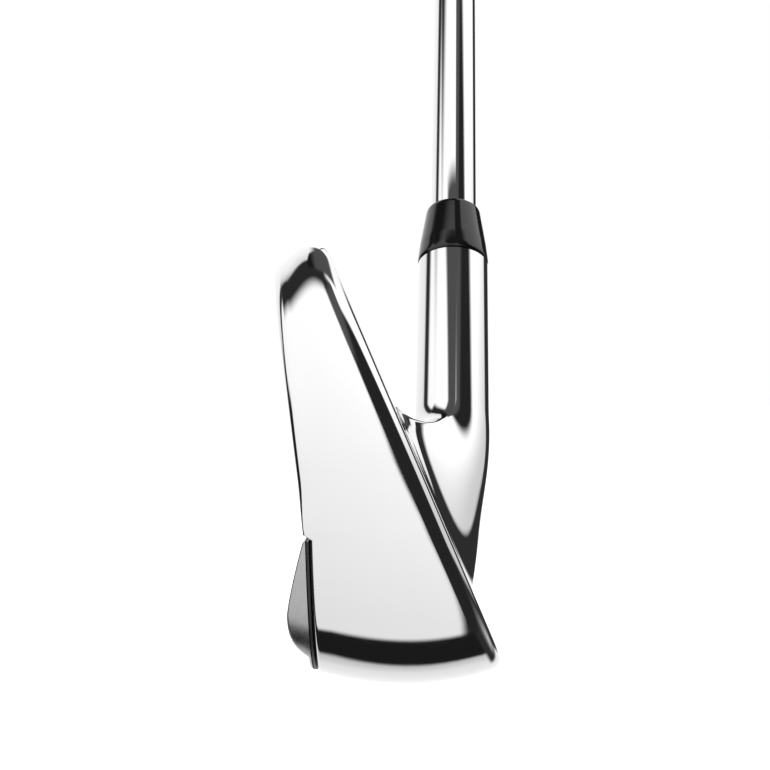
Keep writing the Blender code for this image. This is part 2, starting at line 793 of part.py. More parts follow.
def badge_swell(z):
    """Outer side of the badge plate over the seat: thin at the ledge, full below, round at the sole."""
    fall = max(0.0, (BADGE_FULL_Z - z) / BADGE_FULL_Z)
    rise = max(0.0, (z - BADGE_FULL_Z) / (LEDGE_Z - BADGE_FULL_Z))
    swell = BADGE_FULL - (BADGE_FULL - LEDGE_DEPTH) * rise**BADGE_TOP_CURVE
    return max(BADGE_INNER + BADGE_LEAST, swell - BADGE_SOLE_FALL * fall**3)


def badge_ramp_mesh(name):
    """A block over the badge seat whose outer side falls off towards the badge's heel end."""
    low, high = BADGE_BLANK_Y
    low_z, high_z = -RAMP_OVERRUN, LEDGE_Z + RAMP_OVERRUN
    points = []
    for z in (low_z, high_z):
        heel_side = seat_y(z) + BADGE_HEEL_THICKNESS
        rise = (BADGE_HEEL_X - BADGE_RAMP_END_X) * BADGE_HEEL_SLOPE
        points.append(Vector((BADGE_BLANK_X[0], low, z)))
        points.append(Vector((0.0, low, z)))
        points.append(Vector((0.0, heel_side, z)))
        points.append(Vector((BADGE_HEEL_X, heel_side, z)))
        points.append(Vector((BADGE_RAMP_END_X, heel_side + rise, z)))
        points.append(Vector((BADGE_BLANK_X[0], heel_side + rise, z)))
    count = len(points) // 2
    faces = [tuple(range(count)), tuple(range(2 * count - 1, count - 1, -1))]
    for k in range(count):
        after = (k + 1) % count
        faces.append((k, k + count, after + count, after))
    return closed_mesh(name, points, faces)


# ---------------------------------------------------------------- the pieces


def make_head(head, parts, cutters):
    steps = (ROUND_STEPS, WALL_STEPS)
    mesh = head_mesh("head_body", COLUMNS, LOW_ROWS, HIGH_ROWS, steps, NECK_RINGS)
    body = add_mesh_object("head_body", mesh, head, parts, "polished_chrome")
    plate_margin = INSERT_MARGIN - THIN_GAP
    pocket = face_plate(
        "face_pocket", plate_margin, INSERT_HEEL_X + THIN_GAP, -1.0, FACE_THICKNESS + THIN_GAP + 1.0
    )
    cavity = core_hull("core_cavity", CAVITY_MARGIN, CORE_HEEL_X, -1.0, 0.0)
    cut(body, mark_as_cutter(add_mesh_object("face_pocket", pocket, head, cutters)))
    cut(body, mark_as_cutter(add_mesh_object("core_cavity", cavity, head, cutters)))
    cut(body, port_cutter(head, cutters))
    return body


def place_on_seat(obj, depth):
    """Stands the object's +Z along the badge seat's outward normal at the fill port."""
    lean = math.atan(SEAT_LEAN)
    obj.rotation_euler = (-math.pi / 2 - lean, 0.0, 0.0)
    normal = Vector((0.0, math.cos(lean), -math.sin(lean)))
    obj.location = (Vector((PORT_X, seat_y(PORT_Z), PORT_Z)) + normal * depth) * MM


def port_cutter(head, cutters):
    length = PORT_DEPTH + PORT_RISE
    cutter = mark_as_cutter(round_bar("fill_port", PORT_RADIUS, (0.0, length), head, cutters))
    place_on_seat(cutter, -PORT_DEPTH)
    return cutter


def make_port_plug(head, parts, cutters):
    thickness = REAR_WALL - GAP - THIN_GAP
    plug = round_bar("fill_port_plug", PORT_RADIUS - GAP, (0.0, thickness), head, parts, "plug_steel")
    place_on_seat(plug, -thickness - THIN_GAP)
    socket = round_bar("hex_socket", SOCKET_RADIUS, (0.0, thickness), head, cutters, sides=6)
    place_on_seat(mark_as_cutter(socket), -thickness * SOCKET_SHARE)
    cut(plug, socket)


def make_face_cup(head, parts, cutters):
    mesh = face_plate("face_cup", INSERT_MARGIN, INSERT_HEEL_X, 0.0, FACE_THICKNESS)
    mesh.shade_flat()
    face = add_mesh_object("face_cup", mesh, head, parts, "blasted_steel")
    cut(face, score_lines(head, cutters))


def score_line_ends(z):
    """Heel and toe end of the scoreline at the height z; the topline shortens the high ones."""
    clear_x = PEAK_X + (PEAK_Z - SCORE_CLEARANCE - z) / math.tan(TOPLINE_SLOPE)
    return min(LINE_HEEL_X, clear_x), LINE_TOE_X


def score_lines(head, cutters):
    """One cutter with a V-bottomed bar for every scoreline, parallel to the ground."""
    up_face = Vector((0.0, math.sin(LOFT), math.cos(LOFT)))
    floor = LINE_FLOOR_SHARE / 2
    section = ((-0.5, -0.5), (0.5, -0.5), (0.5, 0.0), (floor, 1.0), (-floor, 1.0), (-0.5, 0.0))
    points = []
    faces = []
    for index in range(LINE_COUNT):
        z = FIRST_LINE_Z + index * LINE_PITCH * math.cos(LOFT)
        first = len(points)
        for x in score_line_ends(z):
            middle = Vector((x, face_y(z), z))
            for across, depth in section:
                points.append(middle + up_face * across * LINE_WIDTH - FACE_NORMAL * depth * LINE_DEPTH)
        faces.append(tuple(range(first, first + 6)))
        faces.append(tuple(range(first + 11, first + 5, -1)))
        for k in range(6):
            after = (k + 1) % 6
            faces.append((first + k, first + 6 + k, first + 6 + after, first + after))
    mesh = closed_mesh("score_lines", points, faces)
    return mark_as_cutter(add_mesh_object("score_lines", mesh, head, cutters))


def make_core(head, parts, cutters):
    mesh = core_hull(
        "damping_core",
        CAVITY_MARGIN + GAP,
        CORE_HEEL_X - GAP,
        FACE_THICKNESS + GAP,
        CORE_CLEARANCE,
    )
    core = add_mesh_object("damping_core", mesh, head, parts, "urethane")
    for name, low, high in WEIGHTS:
        weight = block_mesh(name, low, high, WEIGHT_BEVEL)
        add_mesh_object(name, weight, head, parts, "dense_alloy")
        grown_low = Vector(low) - Vector((GAP, GAP, WEIGHT_POCKET_DEPTH))
        grown_high = Vector(high) + Vector((GAP, GAP, GAP))
        pocket = block_mesh(name + "_pocket", grown_low, grown_high)
        cut(core, mark_as_cutter(add_mesh_object(name + "_pocket", pocket, head, cutters)))


def keep_inside(obj, mesh, head, cutters):
    """Keeps only what lies inside the mesh."""
    cutter = mark_as_cutter(add_mesh_object(mesh.name, mesh, head, cutters))
    modifier = obj.modifiers.new("keep_" + mesh.name, "BOOLEAN")
    modifier.operation = "INTERSECT"
    modifier.solver = "EXACT"
    modifier.object = cutter


def make_badge(head, parts, cutters):
    """The three layers on the badge seat, each the seat's outline cut by its own section."""
    layers = (
        ("badge_adhesive", "foam_tape", ADHESIVE_MARGIN, THIN_GAP, lambda z: ADHESIVE_OUTER),
        ("badge_backing", "black_polymer", BADGE_MARGIN, ADHESIVE_OUTER + THIN_GAP, lambda z: BACKING_OUTER),
        ("badge_plate", "brushed_badge", BADGE_MARGIN, BADGE_INNER, badge_swell),
    )
    for name, material, margin, inner, outer in layers:
        mesh = prism_mesh(name, badge_outline(margin), *BADGE_BLANK_Y, "Y")
        layer = add_mesh_object(name, mesh, head, parts, material)
        section = prism_mesh(name + "_section", badge_section(inner, outer), *BADGE_BLANK_X, "X")
        keep_inside(layer, section, head, cutters)
    keep_inside(layer, badge_ramp_mesh("badge_ramp"), head, cutters)


def make_hosel_bore(axis, cutters, body):
    bore = round_bar("hosel_bore", BORE_RADIUS, (BORE_BOTTOM, HOSEL_TOP + BORE_OVERRUN), axis, cutters)
    cut(body, mark_as_cutter(bore))


def shaft_profile():
    """Outer side of the shaft from the butt to the tip, then its bore from the tip to the butt."""
    butt_end = CLUB_LENGTH - CAP_LENGTH - GAP
    step_height = (BUTT_RADIUS - TIP_RADIUS) / STEP_COUNT
    outer = [(BUTT_RADIUS, butt_end)]
    for index in reversed(range(STEP_COUNT)):
        along = FIRST_STEP + index * STEP_PITCH
        radius = TIP_RADIUS + index * step_height
        outer.append((radius + step_height, along + STEP_LENGTH))
        outer.append((radius, along))
    outer.append((TIP_RADIUS, TIP_END + TIP_CHAMFER))
    outer.append((TIP_RADIUS - TIP_CHAMFER, TIP_END))
    last_step = FIRST_STEP + (STEP_COUNT - 1) * STEP_PITCH
    inner = [
        (TIP_RADIUS - SHAFT_WALL, TIP_END),
        (TIP_RADIUS - SHAFT_WALL, FIRST_STEP),
        (BUTT_RADIUS - SHAFT_WALL, last_step + STEP_LENGTH),
        (BUTT_RADIUS - SHAFT_WALL, butt_end),
    ]
    return outer + inner


def ferrule_profile():
    low = HOSEL_TOP + THIN_GAP
    high = low + FERRULE_LENGTH
    bore = TIP_RADIUS + THIN_GAP
    top = [(FERRULE_TOP_RADIUS + wider, high - below) for wider, below in FERRULE_TOP_EDGE]
    foot = [(HOSEL_RADIUS + wider, low + above) for wider, above in FERRULE_FOOT_EDGE]
    return [(bore, high)] + top + foot + [(bore, low)]


def grip_radius(share):
    """Outer radius of the grip, from its mouth at 0 to its butt at 1."""
    return GRIP_MOUTH_RADIUS + (GRIP_BUTT_RADIUS - GRIP_MOUTH_RADIUS) * share**GRIP_TAPER_POWER


def grip_profile():
    high = CLUB_LENGTH - CAP_LENGTH - GAP
    low = CLUB_LENGTH - GRIP_LENGTH
    shares = [k / GRIP_STEPS for k in range(GRIP_STEPS, 0, -1)]
    outer = [(grip_radius(share), low + (high - low) * share) for share in shares]
    across, along = GRIP_MOUTH_EDGE
    outer.append((GRIP_MOUTH_RADIUS, low + along))
    outer.append((GRIP_MOUTH_RADIUS - across, low))
    return outer + [(GRIP_BORE_RADIUS, low), (GRIP_BORE_RADIUS, high)]


def cap_profile():
    high = CLUB_LENGTH
    low = high - CAP_LENGTH
    edge = [(CAP_RADIUS - inside, high - below) for inside, below in CAP_EDGE]
    foot = [
        (CAP_RADIUS - CAP_FOOT_INSET, low),
        (CAP_BOSS_RADIUS, low),
        (CAP_BOSS_RADIUS, low - CAP_BOSS_LENGTH),
        (VENT_RADIUS, low - CAP_BOSS_LENGTH),
    ]
    return [(VENT_RADIUS, high)] + edge + foot


def tube_profile(inner, outer, low, high):
    return [(outer, high), (outer, low), (inner, low), (inner, high)]


def make_shaft_assembly(axis, parts):
    grip_low = CLUB_LENGTH - GRIP_LENGTH
    grip_high = CLUB_LENGTH - CAP_LENGTH - GAP
    tape_inner = BUTT_RADIUS + THIN_GAP
    tape = tube_profile(tape_inner, tape_inner + TAPE_THICKNESS, grip_low - TAPE_SHOWS, grip_high - GAP)
    bond_inner = TIP_RADIUS + THIN_GAP
    bond = tube_profile(bond_inner, BORE_RADIUS - THIN_GAP, TIP_END, HOSEL_TOP - THIN_GAP)
    band_inner = BUTT_RADIUS + THIN_GAP
    band = tube_profile(band_inner, band_inner + BAND_THICKNESS, BAND_LOW, BAND_LOW + BAND_LENGTH)
    turned("hosel_bond", bond, axis, parts, "epoxy")
    turned("ferrule", ferrule_profile(), axis, parts, "gloss_black", FERRULE_SIDES)
    turned("shaft", shaft_profile(), axis, parts, "polished_chrome")
    turned("shaft_band", band, axis, parts, "printed_band")
    turned("grip_tape", tape, axis, parts, "tape")
    turned("grip", grip_profile(), axis, parts, "grip_rubber")
    turned("grip_end_cap", cap_profile(), axis, parts, "grip_rubber")
    pin_radius = TIP_RADIUS - SHAFT_WALL - GAP
    round_bar("tip_weight", pin_radius, (TIP_END, TIP_END + TIP_WEIGHT_LENGTH), axis, parts, "brass")


def main():
    clear_scene()
    for name in FINISHES:
        make_material(name)
    parts = new_collection("iron_golf_club")
    cutters = new_collection("cutters")
    head = add_empty("ground_point", WORLD_SHIFT * MM, parts)
    axis = add_empty("shaft_axis", (0.0, 0.0, 0.0), parts, head, SHAFT_LEAN)
    body = make_head(head, parts, cutters)
    make_hosel_bore(axis, cutters, body)
    make_face_cup(head, parts, cutters)
    make_core(head, parts, cutters)
    make_badge(head, parts, cutters)
    make_port_plug(head, parts, cutters)
    make_shaft_assembly(axis, parts)


main()
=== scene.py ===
import json
import math

import bmesh
import bpy
from mathutils import Matrix, Vector


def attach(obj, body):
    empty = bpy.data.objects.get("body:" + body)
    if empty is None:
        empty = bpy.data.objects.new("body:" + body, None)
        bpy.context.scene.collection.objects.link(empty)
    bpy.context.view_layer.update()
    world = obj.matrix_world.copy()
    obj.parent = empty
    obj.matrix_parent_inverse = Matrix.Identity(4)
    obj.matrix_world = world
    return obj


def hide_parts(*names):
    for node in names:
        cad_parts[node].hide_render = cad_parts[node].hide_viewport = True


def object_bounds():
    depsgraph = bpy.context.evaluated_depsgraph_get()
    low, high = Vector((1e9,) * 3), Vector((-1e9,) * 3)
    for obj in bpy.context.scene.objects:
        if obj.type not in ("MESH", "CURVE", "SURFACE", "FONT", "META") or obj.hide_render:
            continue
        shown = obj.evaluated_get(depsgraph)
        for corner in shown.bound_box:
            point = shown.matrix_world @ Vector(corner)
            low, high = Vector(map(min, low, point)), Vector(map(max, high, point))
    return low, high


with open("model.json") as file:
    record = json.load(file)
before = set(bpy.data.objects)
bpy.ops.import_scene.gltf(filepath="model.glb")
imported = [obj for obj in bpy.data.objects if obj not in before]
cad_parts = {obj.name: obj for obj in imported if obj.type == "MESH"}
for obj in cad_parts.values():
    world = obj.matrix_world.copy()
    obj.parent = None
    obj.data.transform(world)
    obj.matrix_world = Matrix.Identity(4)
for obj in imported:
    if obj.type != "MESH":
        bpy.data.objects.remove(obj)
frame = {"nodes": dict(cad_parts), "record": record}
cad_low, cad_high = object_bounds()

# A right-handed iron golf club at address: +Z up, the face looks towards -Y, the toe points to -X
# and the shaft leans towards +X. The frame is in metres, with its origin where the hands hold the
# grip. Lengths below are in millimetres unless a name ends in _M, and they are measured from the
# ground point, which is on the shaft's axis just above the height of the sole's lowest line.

MM = 0.001
SMOOTH_BELOW = 30.0  # degrees
GAP = 0.3  # clearance between neighbouring pieces
THIN_GAP = 0.1  # clearance between pieces that share an axis or lie in one stack

# Club
CLUB_LENGTH = 971.5  # from the ground point to the butt, along the shaft
LOFT = math.radians(25.0)

# Face plane: it leans back by the loft and passes through FACE_Y at the height FACE_Z
FACE_Y = 12.9
FACE_Z = 39.0
FACE_THICKNESS = 2.3

# Outline of the head seen from the front
HEEL_X = -8.0  # where the blade ends and the neck begins
SOLE_MID_X = -38.0
SOLE_EDGE_Z = 1.6
SOLE_RADIUS = 400.0  # heel to toe
LOWER_TOE_X = -59.0  # end of the sole's arc
TIP_X = -78.5
TIP_Z = 31.0
PEAK_X = -55.0  # end of the straight topline
PEAK_Z = 57.6
PEAK_BLEND = 8.0  # half the length over which the back stops following the topline's slope
TOPLINE_SLOPE = math.radians(21.5)
# Bezier handles of the toe's curve: at the sole's end, below and above the tip, at the peak
LOWER_TOE_PULL = 13.5
TIP_LOW_PULL = (0.5, -15.5)
TIP_HIGH_PULL = (-0.45, 14.5)
PEAK_PULL = 14.5

# Blade section
TOPLINE_THICKNESS = 6.1
TOPLINE_DROP = 4.0  # how much lower the topline's rear edge lies than its front edge
SEAT_Y = 20.05  # the badge seat's depth at the ground height
SEAT_LEAN = 0.05
LEDGE_Z = 20.3  # top of the badge seat
LEDGE_DEPTH = 0.95
LEDGE_HEIGHT = 0.6
LEDGE_RUN_IN = (1.0, 9.0)  # distances from the blade's heel end between which the ledge gets its depth
BACK_BOW = -0.3
SOLE_BACK_Z = 0.5
FRONT_ROUND = 2.3
BACK_ROUND_LOW = 0.5  # round of the rear edge below the ledge
BACK_ROUND_HIGH = 1.5  # the same above it
BACK_ROUND_START = 1.0  # from the ledge to where the round starts to grow
BACK_ROUND_GROWTH = 6.0
SOLE_CROWN = 1.55
WALL_CROWN = 0.3

# Neck and hosel, with distances along the shaft's axis
HOSEL_RADIUS = 7.05
HOSEL_START = 38.0
HOSEL_TOP = 72.4
HOSEL_CHAMFER = 0.4
BORE_RADIUS = 5.2
BORE_BOTTOM = 39.0
NECK_HEEL_PULL = (26.0, 23.0)  # Bezier handles of the neck's heel side, at the blade and at the hosel
NECK_TOE_PULL = (13.0, 8.0)  # the same for its toe side
NECK_FRONT_PULL = (8.0, 20.0)
NECK_FRONT_SWELL = 0.85  # how far those handles lean towards the front
# Angles round the hosel that the section's corners lead to, in degrees from the heel side over the rear:
# leading edge, rear edge of the sole, rear and front edge of the topline, and the leading edge again
NECK_CORNERS = (-60.0, 50.0, 115.0, 175.0, 300.0)

# Hollow body
REAR_WALL = 2.0
CORE_HEEL_X = -14.0
CAVITY_MARGIN = 5.0  # from the outline to the cavity
INSERT_MARGIN = 3.2  # rim of the body left around the face insert
INSERT_HEEL_X = -12.5
PORT_RADIUS = 3.2
PORT_X = -36.0
PORT_Z = 11.0
PORT_DEPTH = 6.0
CUT_OVERRUN = 1.0  # how far a cutter reaches past the surface it opens

# Scorelines
LINE_COUNT = 13
LINE_PITCH = 3.6
LINE_WIDTH = 0.85
LINE_DEPTH = 0.4
LINE_HEEL_X = -20.0
LINE_TOE_X = -61.0
LINE_RUN_OUT = 1.2  # length over which a line's end rises to the face
FIRST_LINE_Z = 7.0
SCORE_CLEARANCE = 5.5
FACE_SMOOTH_BELOW = 10.0

# Badge layers, as distances from the seat
BADGE_HEEL_X = -13.0
BADGE_MARGIN = 0.5
BACKING_INNER = 0.3
BACKING_OUTER = 0.62
BADGE_INNER = 0.72
BADGE_LEAST = 0.3
BADGE_FULL = 3.32
BADGE_FULL_Z = 10.5  # height where the badge is thickest
BADGE_SOLE_FALL = 14.0
BADGE_TOP_CURVE = 1.2  # 1 would be a straight slope from the full thickness up to the ledge
BADGE_TOP_SHARE = 0.25  # part of the margin that is kept along the ledge
BADGE_CORNER = 3.0  # reach of the rounded corners at the heel end
BADGE_HEEL_THICKNESS = 1.3
BADGE_HEEL_SLOPE = 0.35
PANEL_INSET = 2.4  # border left round the badge's recessed panel
PANEL_DEPTH = 0.14
PANEL_EDGE = 0.15  # half the width of the slope round it
BADGE_EDGE = 0.3  # round of the badge plate's outer edge
BACKING_EDGE = 0.05
WELD_M = 0.000001

# Shaft, grip and the pieces on them
TIP_RADIUS = 4.7
BUTT_RADIUS = 7.62
TIP_END = 41.0
FIRST_STEP = 215.0
STEP_PITCH = 31.0
STEP_COUNT = 13
STEP_LENGTH = 1.2
SHAFT_WALL = 0.9
TIP_CHAMFER = 0.5
FERRULE_LENGTH = 12.6
FERRULE_TOP_RADIUS = 5.6
BAND_LOW = 618.0
BAND_LENGTH = 62.0
BAND_THICKNESS = 0.12
GRIP_LENGTH = 267.0
GRIP_MOUTH_RADIUS = 9.3
GRIP_BUTT_RADIUS = 13.0
GRIP_BORE_RADIUS = 8.05
GRIP_TAPER_POWER = 1.25
CAP_LENGTH = 6.0
CAP_RADIUS = 13.3
CAP_DISH_RADIUS = 7.5
CAP_BOSS_RADIUS = 6.2
CAP_BOSS_LENGTH = 4.0
VENT_RADIUS = 1.8

# Moulded pattern of the grip
GRIP_GROOVE_DEPTH = 0.42
GRIP_GROOVE_HALF_WIDTH = 0.62
GRIP_STARTS = 16  # spiral grooves each way round
GRIP_DIAMOND_LENGTH = 5.2  # along the grip, from one crossing to the next
GRIP_ZONES = 3
GRIP_ZONE_RING = 1.6
GRIP_PLAIN_END = 12.0

# Surface zones
SEAM = 0.03  # hairline between the face insert and the body
BLAST_MARGIN = 1.2  # how far the blasted zone reaches past the scorelines' ends
BLAST_EDGE = 0.3
POLISHED_ROUGHNESS = 0.05
BAND_RINGS = ((29.0, 0.5), (27.0, 0.25), (22.0, 1.6), (12.0, 0.25), (10.5, 0.25))  # offset and half width

# Camera, in millimetres from the ground point
CAMERA_PLACE = (-235.7, 12.9, 39.0)
CAMERA_LENS = 62.65
CAMERA_SENSOR = 36.0
CAMERA_ROLL = math.radians(1.87)

# Resolution
LOW_CORNER_INSET = 9.0
HIGH_CORNER_INSET = 10.0
COLUMNS = 72
LOW_ROWS = 14
HIGH_ROWS = 30
NECK_RINGS = 64
ROUND_STEPS = 9
WALL_STEPS = 12
BACK_STEPS = 6
ROWS = LOW_ROWS + 1 + HIGH_ROWS
OUTLINE_SAMPLES = 400
BADGE_GRID = (150, 56)
BACKING_GRID = (90, 12)
ROW_CROWDING = 0.08  # the smaller, the closer a badge layer's rows lie to its edges
FINE_SIDES = 128
GRIP_GRID = (160, 340)  # round the grip and along it

# Studio. Each card: tilt low and high, their soft margins, clock middle, half width, soft margin, value,
# and the normals of planes that cut it off
FRONT_LOW = 0.87
FRONT_HIGH = 1.22
FRONT_SIDE = 0.08
BEHIND_STEPS = ((104.0, 122.0, 0.50, 0.88), (122.0, 160.0, 0.0, 0.20))  # tilt from, tilt to, value from, value to
BEHIND_TOP = 0.18
CARD_EDGE_SOFT = 0.035
STUDIO_CARDS = (
    (0.0, 95.0, 0.1, 4.0, -85.0, 84.0, 3.0, 0.02, ((0.27, -1.0, 0.0), (0.2446, -1.0, 0.307))),
    (50.0, 92.0, 4.0, 6.0, -11.0, 9.0, 5.0, 0.095, ((0.27, -1.0, 0.0),)),
    (81.5, 127.0, 4.5, 3.0, -48.0, 41.0, 4.0, 0.72, ((0.35, -1.0, -0.29),)),
    (81.5, 127.0, 4.5, 3.0, -34.0, 32.0, 16.0, 1.35, ((0.35, -1.0, -0.29),)),
    (84.5, 109.3, 7.0, 2.5, 20.0, 28.0, 4.0, 0.025, ()),
    (100.0, 130.0, 3.0, 5.0, 5.5, 12.5, 3.0, 0.01, ((-0.6, -1.0, 0.52),)),
    (99.0, 113.0, 4.0, 3.0, 66.0, 22.0, 5.0, 0.03, ()),
    (76.0, 128.0, 5.0, 5.0, 100.0, 18.0, 5.0, 0.015, ()),
    (79.5, 107.5, 2.5, 3.0, 180.0, 70.0, 8.0, 0.012, ()),
    (80.0, 131.0, 4.0, 6.0, -120.0, 31.0, 5.0, 0.03, ()),
    (100.0, 122.0, 24.0, 12.0, -116.0, 5.0, 16.0, 1.0, ()),
    (127.0, 158.0, 3.0, 5.0, -78.0, 34.0, 4.0, 0.03, ()),
)
OVERHEAD_LOW = (-62.0, -20.0, 128.0)
OVERHEAD_HIGH = (22.0, 34.0, 128.0)
OVERHEAD_SOFT = (0.06, 0.11)
OVERHEAD_VALUE = 0.085
BACKDROP_M = 6.0
FLOOR_M = 5.9
FLOOR_GAP = 0.5

MOUNTS = {mount["name"]: mount for mount in frame["record"]["mounts"]}
SHAFT_AXIS = Vector(MOUNTS["butt_end"]["axis"]).normalized()
BUTT_ALONG_M = Vector(MOUNTS["butt_end"]["pos_m"]).dot(SHAFT_AXIS)
SHAFT_LEAN = math.atan2(SHAFT_AXIS.x, SHAFT_AXIS.z)
GROUND_POINT_M = SHAFT_AXIS * (BUTT_ALONG_M - CLUB_LENGTH * MM)
FACE_NORMAL = Vector((0.0, -math.cos(LOFT), math.sin(LOFT)))


# ---------------------------------------------------------------- small helpers


def to_world(point):
    """A point given in millimetres from the ground point, in metres in the frame."""
    return GROUND_POINT_M + Vector(point) * MM


def smooth_step(value, low, high):
    t = min(max((value - low) / (high - low), 0.0), 1.0)
    return t * t * (3.0 - 2.0 * t)


def level_off(value, limit, blend):
    """The value itself above the limit, easing into the limit below it."""
    excess = value - limit
    if excess >= blend:
        return value
    if excess <= -blend:
        return limit
    return limit + (excess + blend) ** 2 / (4.0 * blend)


def bezier(points, t):
    """Point at t on the Bezier curve with these control points."""
    while len(points) > 1:
        points = [a.lerp(b, t) for a, b in zip(points, points[1:])]
    return points[0]


def spread(low, high, count):
    return [low + (high - low) * i / count for i in range(count + 1)]


def closed_mesh(name, points, faces, smooth_below=SMOOTH_BELOW, weld_m=0.0):
    """A closed mesh with its faces turned outwards, smooth except where they meet at a sharper angle."""
    mesh = bpy.data.meshes.new(name)
    mesh.from_pydata([to_world(point) for point in points], [], faces)
    bm = bmesh.new()
    bm.from_mesh(mesh)
    if weld_m:
        bmesh.ops.remove_doubles(bm, verts=bm.verts, dist=weld_m)
        bmesh.ops.dissolve_degenerate(bm, edges=bm.edges, dist=weld_m)
    bmesh.ops.recalc_face_normals(bm, faces=bm.faces)
    bm.to_mesh(mesh)
    bm.free()
    return smoothed(mesh, smooth_below)


def prism(name, first, second):
    """A closed mesh between two loops of equally many points."""
    count = len(first)
    faces = [tuple(range(count)), tuple(range(2 * count - 1, count - 1, -1))]
    for k in range(count):
        after = (k + 1) % count
        faces.append((k, k + count, after + count, after))
    return closed_mesh(name, first + second, faces)


def turns(count):
    """Angles all the way round, evenly spaced."""
    return [2 * math.pi * k / count for k in range(count)]


def smoothed(mesh, smooth_below):
    mesh.shade_smooth()
    mesh.set_sharp_from_angle(angle=math.radians(smooth_below))
    return mesh


def carved(name, base, steps, smooth_below=SMOOTH_BELOW):
    """The base mesh after Boolean steps, each an (operation, mesh) pair."""
    obj = bpy.data.objects.new(name, base)
    bpy.context.scene.collection.objects.link(obj)
    tools = []
    for operation, mesh in steps:
        tool = bpy.data.objects.new(mesh.name, mesh)
        bpy.context.scene.collection.objects.link(tool)
        tools.append(tool)
        modifier = obj.modifiers.new(mesh.name, "BOOLEAN")
        modifier.operation = operation
        modifier.solver = "EXACT"
        modifier.object = tool
    evaluated = obj.evaluated_get(bpy.context.evaluated_depsgraph_get())
    made = bpy.data.meshes.new_from_object(evaluated)
    for leftover in [obj, *tools]:
        bpy.data.objects.remove(leftover)
    made.name = name
    return smoothed(made, smooth_below)


def add_piece(name, mesh, material, slot, *nodes):
    """A visible piece that stands for CAD nodes and moves with the club."""
    mesh.materials.clear()
    mesh.materials.append(material)
    obj = bpy.data.objects.new(name, mesh)
    bpy.context.scene.collection.objects.link(obj)
    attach(obj, "root")
    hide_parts(*nodes)
    return obj


# ---------------------------------------------------------------- outline of the head


def topline_z(x):
    return PEAK_Z - (x - PEAK_X) * math.tan(TOPLINE_SLOPE)


def sole_edge_z(x):
    return SOLE_EDGE_Z + (x - SOLE_MID_X) ** 2 / (2 * SOLE_RADIUS)


def outline(samples=OUTLINE_SAMPLES):
    """The head's front view as two lists of (x, z): heel to toe tip below, heel to toe tip above."""
    sole_end = Vector((LOWER_TOE_X, sole_edge_z(LOWER_TOE_X)))
    sole_slope = (LOWER_TOE_X - SOLE_MID_X) / SOLE_RADIUS
    tip = Vector((TIP_X, TIP_Z))
    peak = Vector((PEAK_X, PEAK_Z))
    lower = []
    for i in range(samples):
        x = HEEL_X + (LOWER_TOE_X - HEEL_X) * i / samples
        lower.append(Vector((x, sole_edge_z(x))))
    lower_curve = [
        sole_end,
        sole_end + Vector((-1.0, -sole_slope)).normalized() * LOWER_TOE_PULL,
        tip + Vector(TIP_LOW_PULL),
        tip,
    ]
    upper_curve = [
        peak,
        peak + Vector((-math.cos(TOPLINE_SLOPE), math.sin(TOPLINE_SLOPE))) * PEAK_PULL,
        tip + Vector(TIP_HIGH_PULL),
        tip,
    ]
    upper = [Vector((HEEL_X, topline_z(HEEL_X)))]
    for i in range(samples + 1):
        lower.append(bezier(lower_curve, i / samples))
        upper.append(bezier(upper_curve, i / samples))
    return lower, upper


def inset(path, distance, side):
    """The path moved sideways; side is 1 to the left of its direction and -1 to the right."""
    moved = []
    for i, point in enumerate(path):
        along = path[min(i + 1, len(path) - 1)] - path[max(i - 1, 0)]
        normal = Vector((-along.y, along.x)).normalized() * side
        moved.append(point + normal * distance)
    return moved


def at_x(path, x):
    """Height of the path at x, on the stretch before its tip."""
    for a, b in zip(path, path[1:]):
        if b.x <= x <= a.x and a.x > b.x:
            return a.y + (b.y - a.y) * (a.x - x) / (a.x - b.x)
    return path[0].y if x > path[0].x else path[-1].y


def at_z(path, z):
    """Distance x of the path's toe end at the height z."""
    for a, b in zip(reversed(path), list(reversed(path))[1:]):
        if min(a.y, b.y) <= z <= max(a.y, b.y) and a.y != b.y:
            return a.x + (b.x - a.x) * (z - a.y) / (b.y - a.y)
    return path[-1].x


def rear_drop(z):
    """How much lower the rim's rear edge lies than its front edge at the height z."""
    low = SOLE_EDGE_Z - SOLE_BACK_Z
    share = min(max((z - SOLE_EDGE_Z) / (PEAK_Z - SOLE_EDGE_Z), 0.0), 1.0)
    return low + (TOPLINE_DROP - low) * share


def toe_x(lower, upper, z):
    return at_z(lower, z) if z < TIP_Z else at_z(upper, z)


def face_y(z):
    return FACE_Y + (z - FACE_Z) * math.tan(LOFT)


def seat_y(z):
    return SEAT_Y + SEAT_LEAN * z


def rear_y(x, z):
    """Depth of the head's back surface."""
    if z < LEDGE_Z + LEDGE_HEIGHT / 2:
        return seat_y(z)
    edge_z = topline_z(level_off(x, PEAK_X, PEAK_BLEND))
    top_z = edge_z - TOPLINE_DROP
    top_y = face_y(edge_z) + TOPLINE_THICKNESS
    ledge = LEDGE_DEPTH * smooth_step(HEEL_X - x, *LEDGE_RUN_IN)
    start_z = LEDGE_Z + LEDGE_HEIGHT
    start_y = seat_y(start_z) + ledge
    t = (z - start_z) / (top_z - start_z)
    return start_y + (top_y - start_y) * t + BACK_BOW * 4 * t * (1 - t)


# ---------------------------------------------------------------- outside of the head


def row_heights(low, high):
    """Heights of a back column: rows on the badge seat, then rows above its ledge."""
    return spread(low, LEDGE_Z, LOW_ROWS) + spread(LEDGE_Z + LEDGE_HEIGHT, high, HIGH_ROWS)


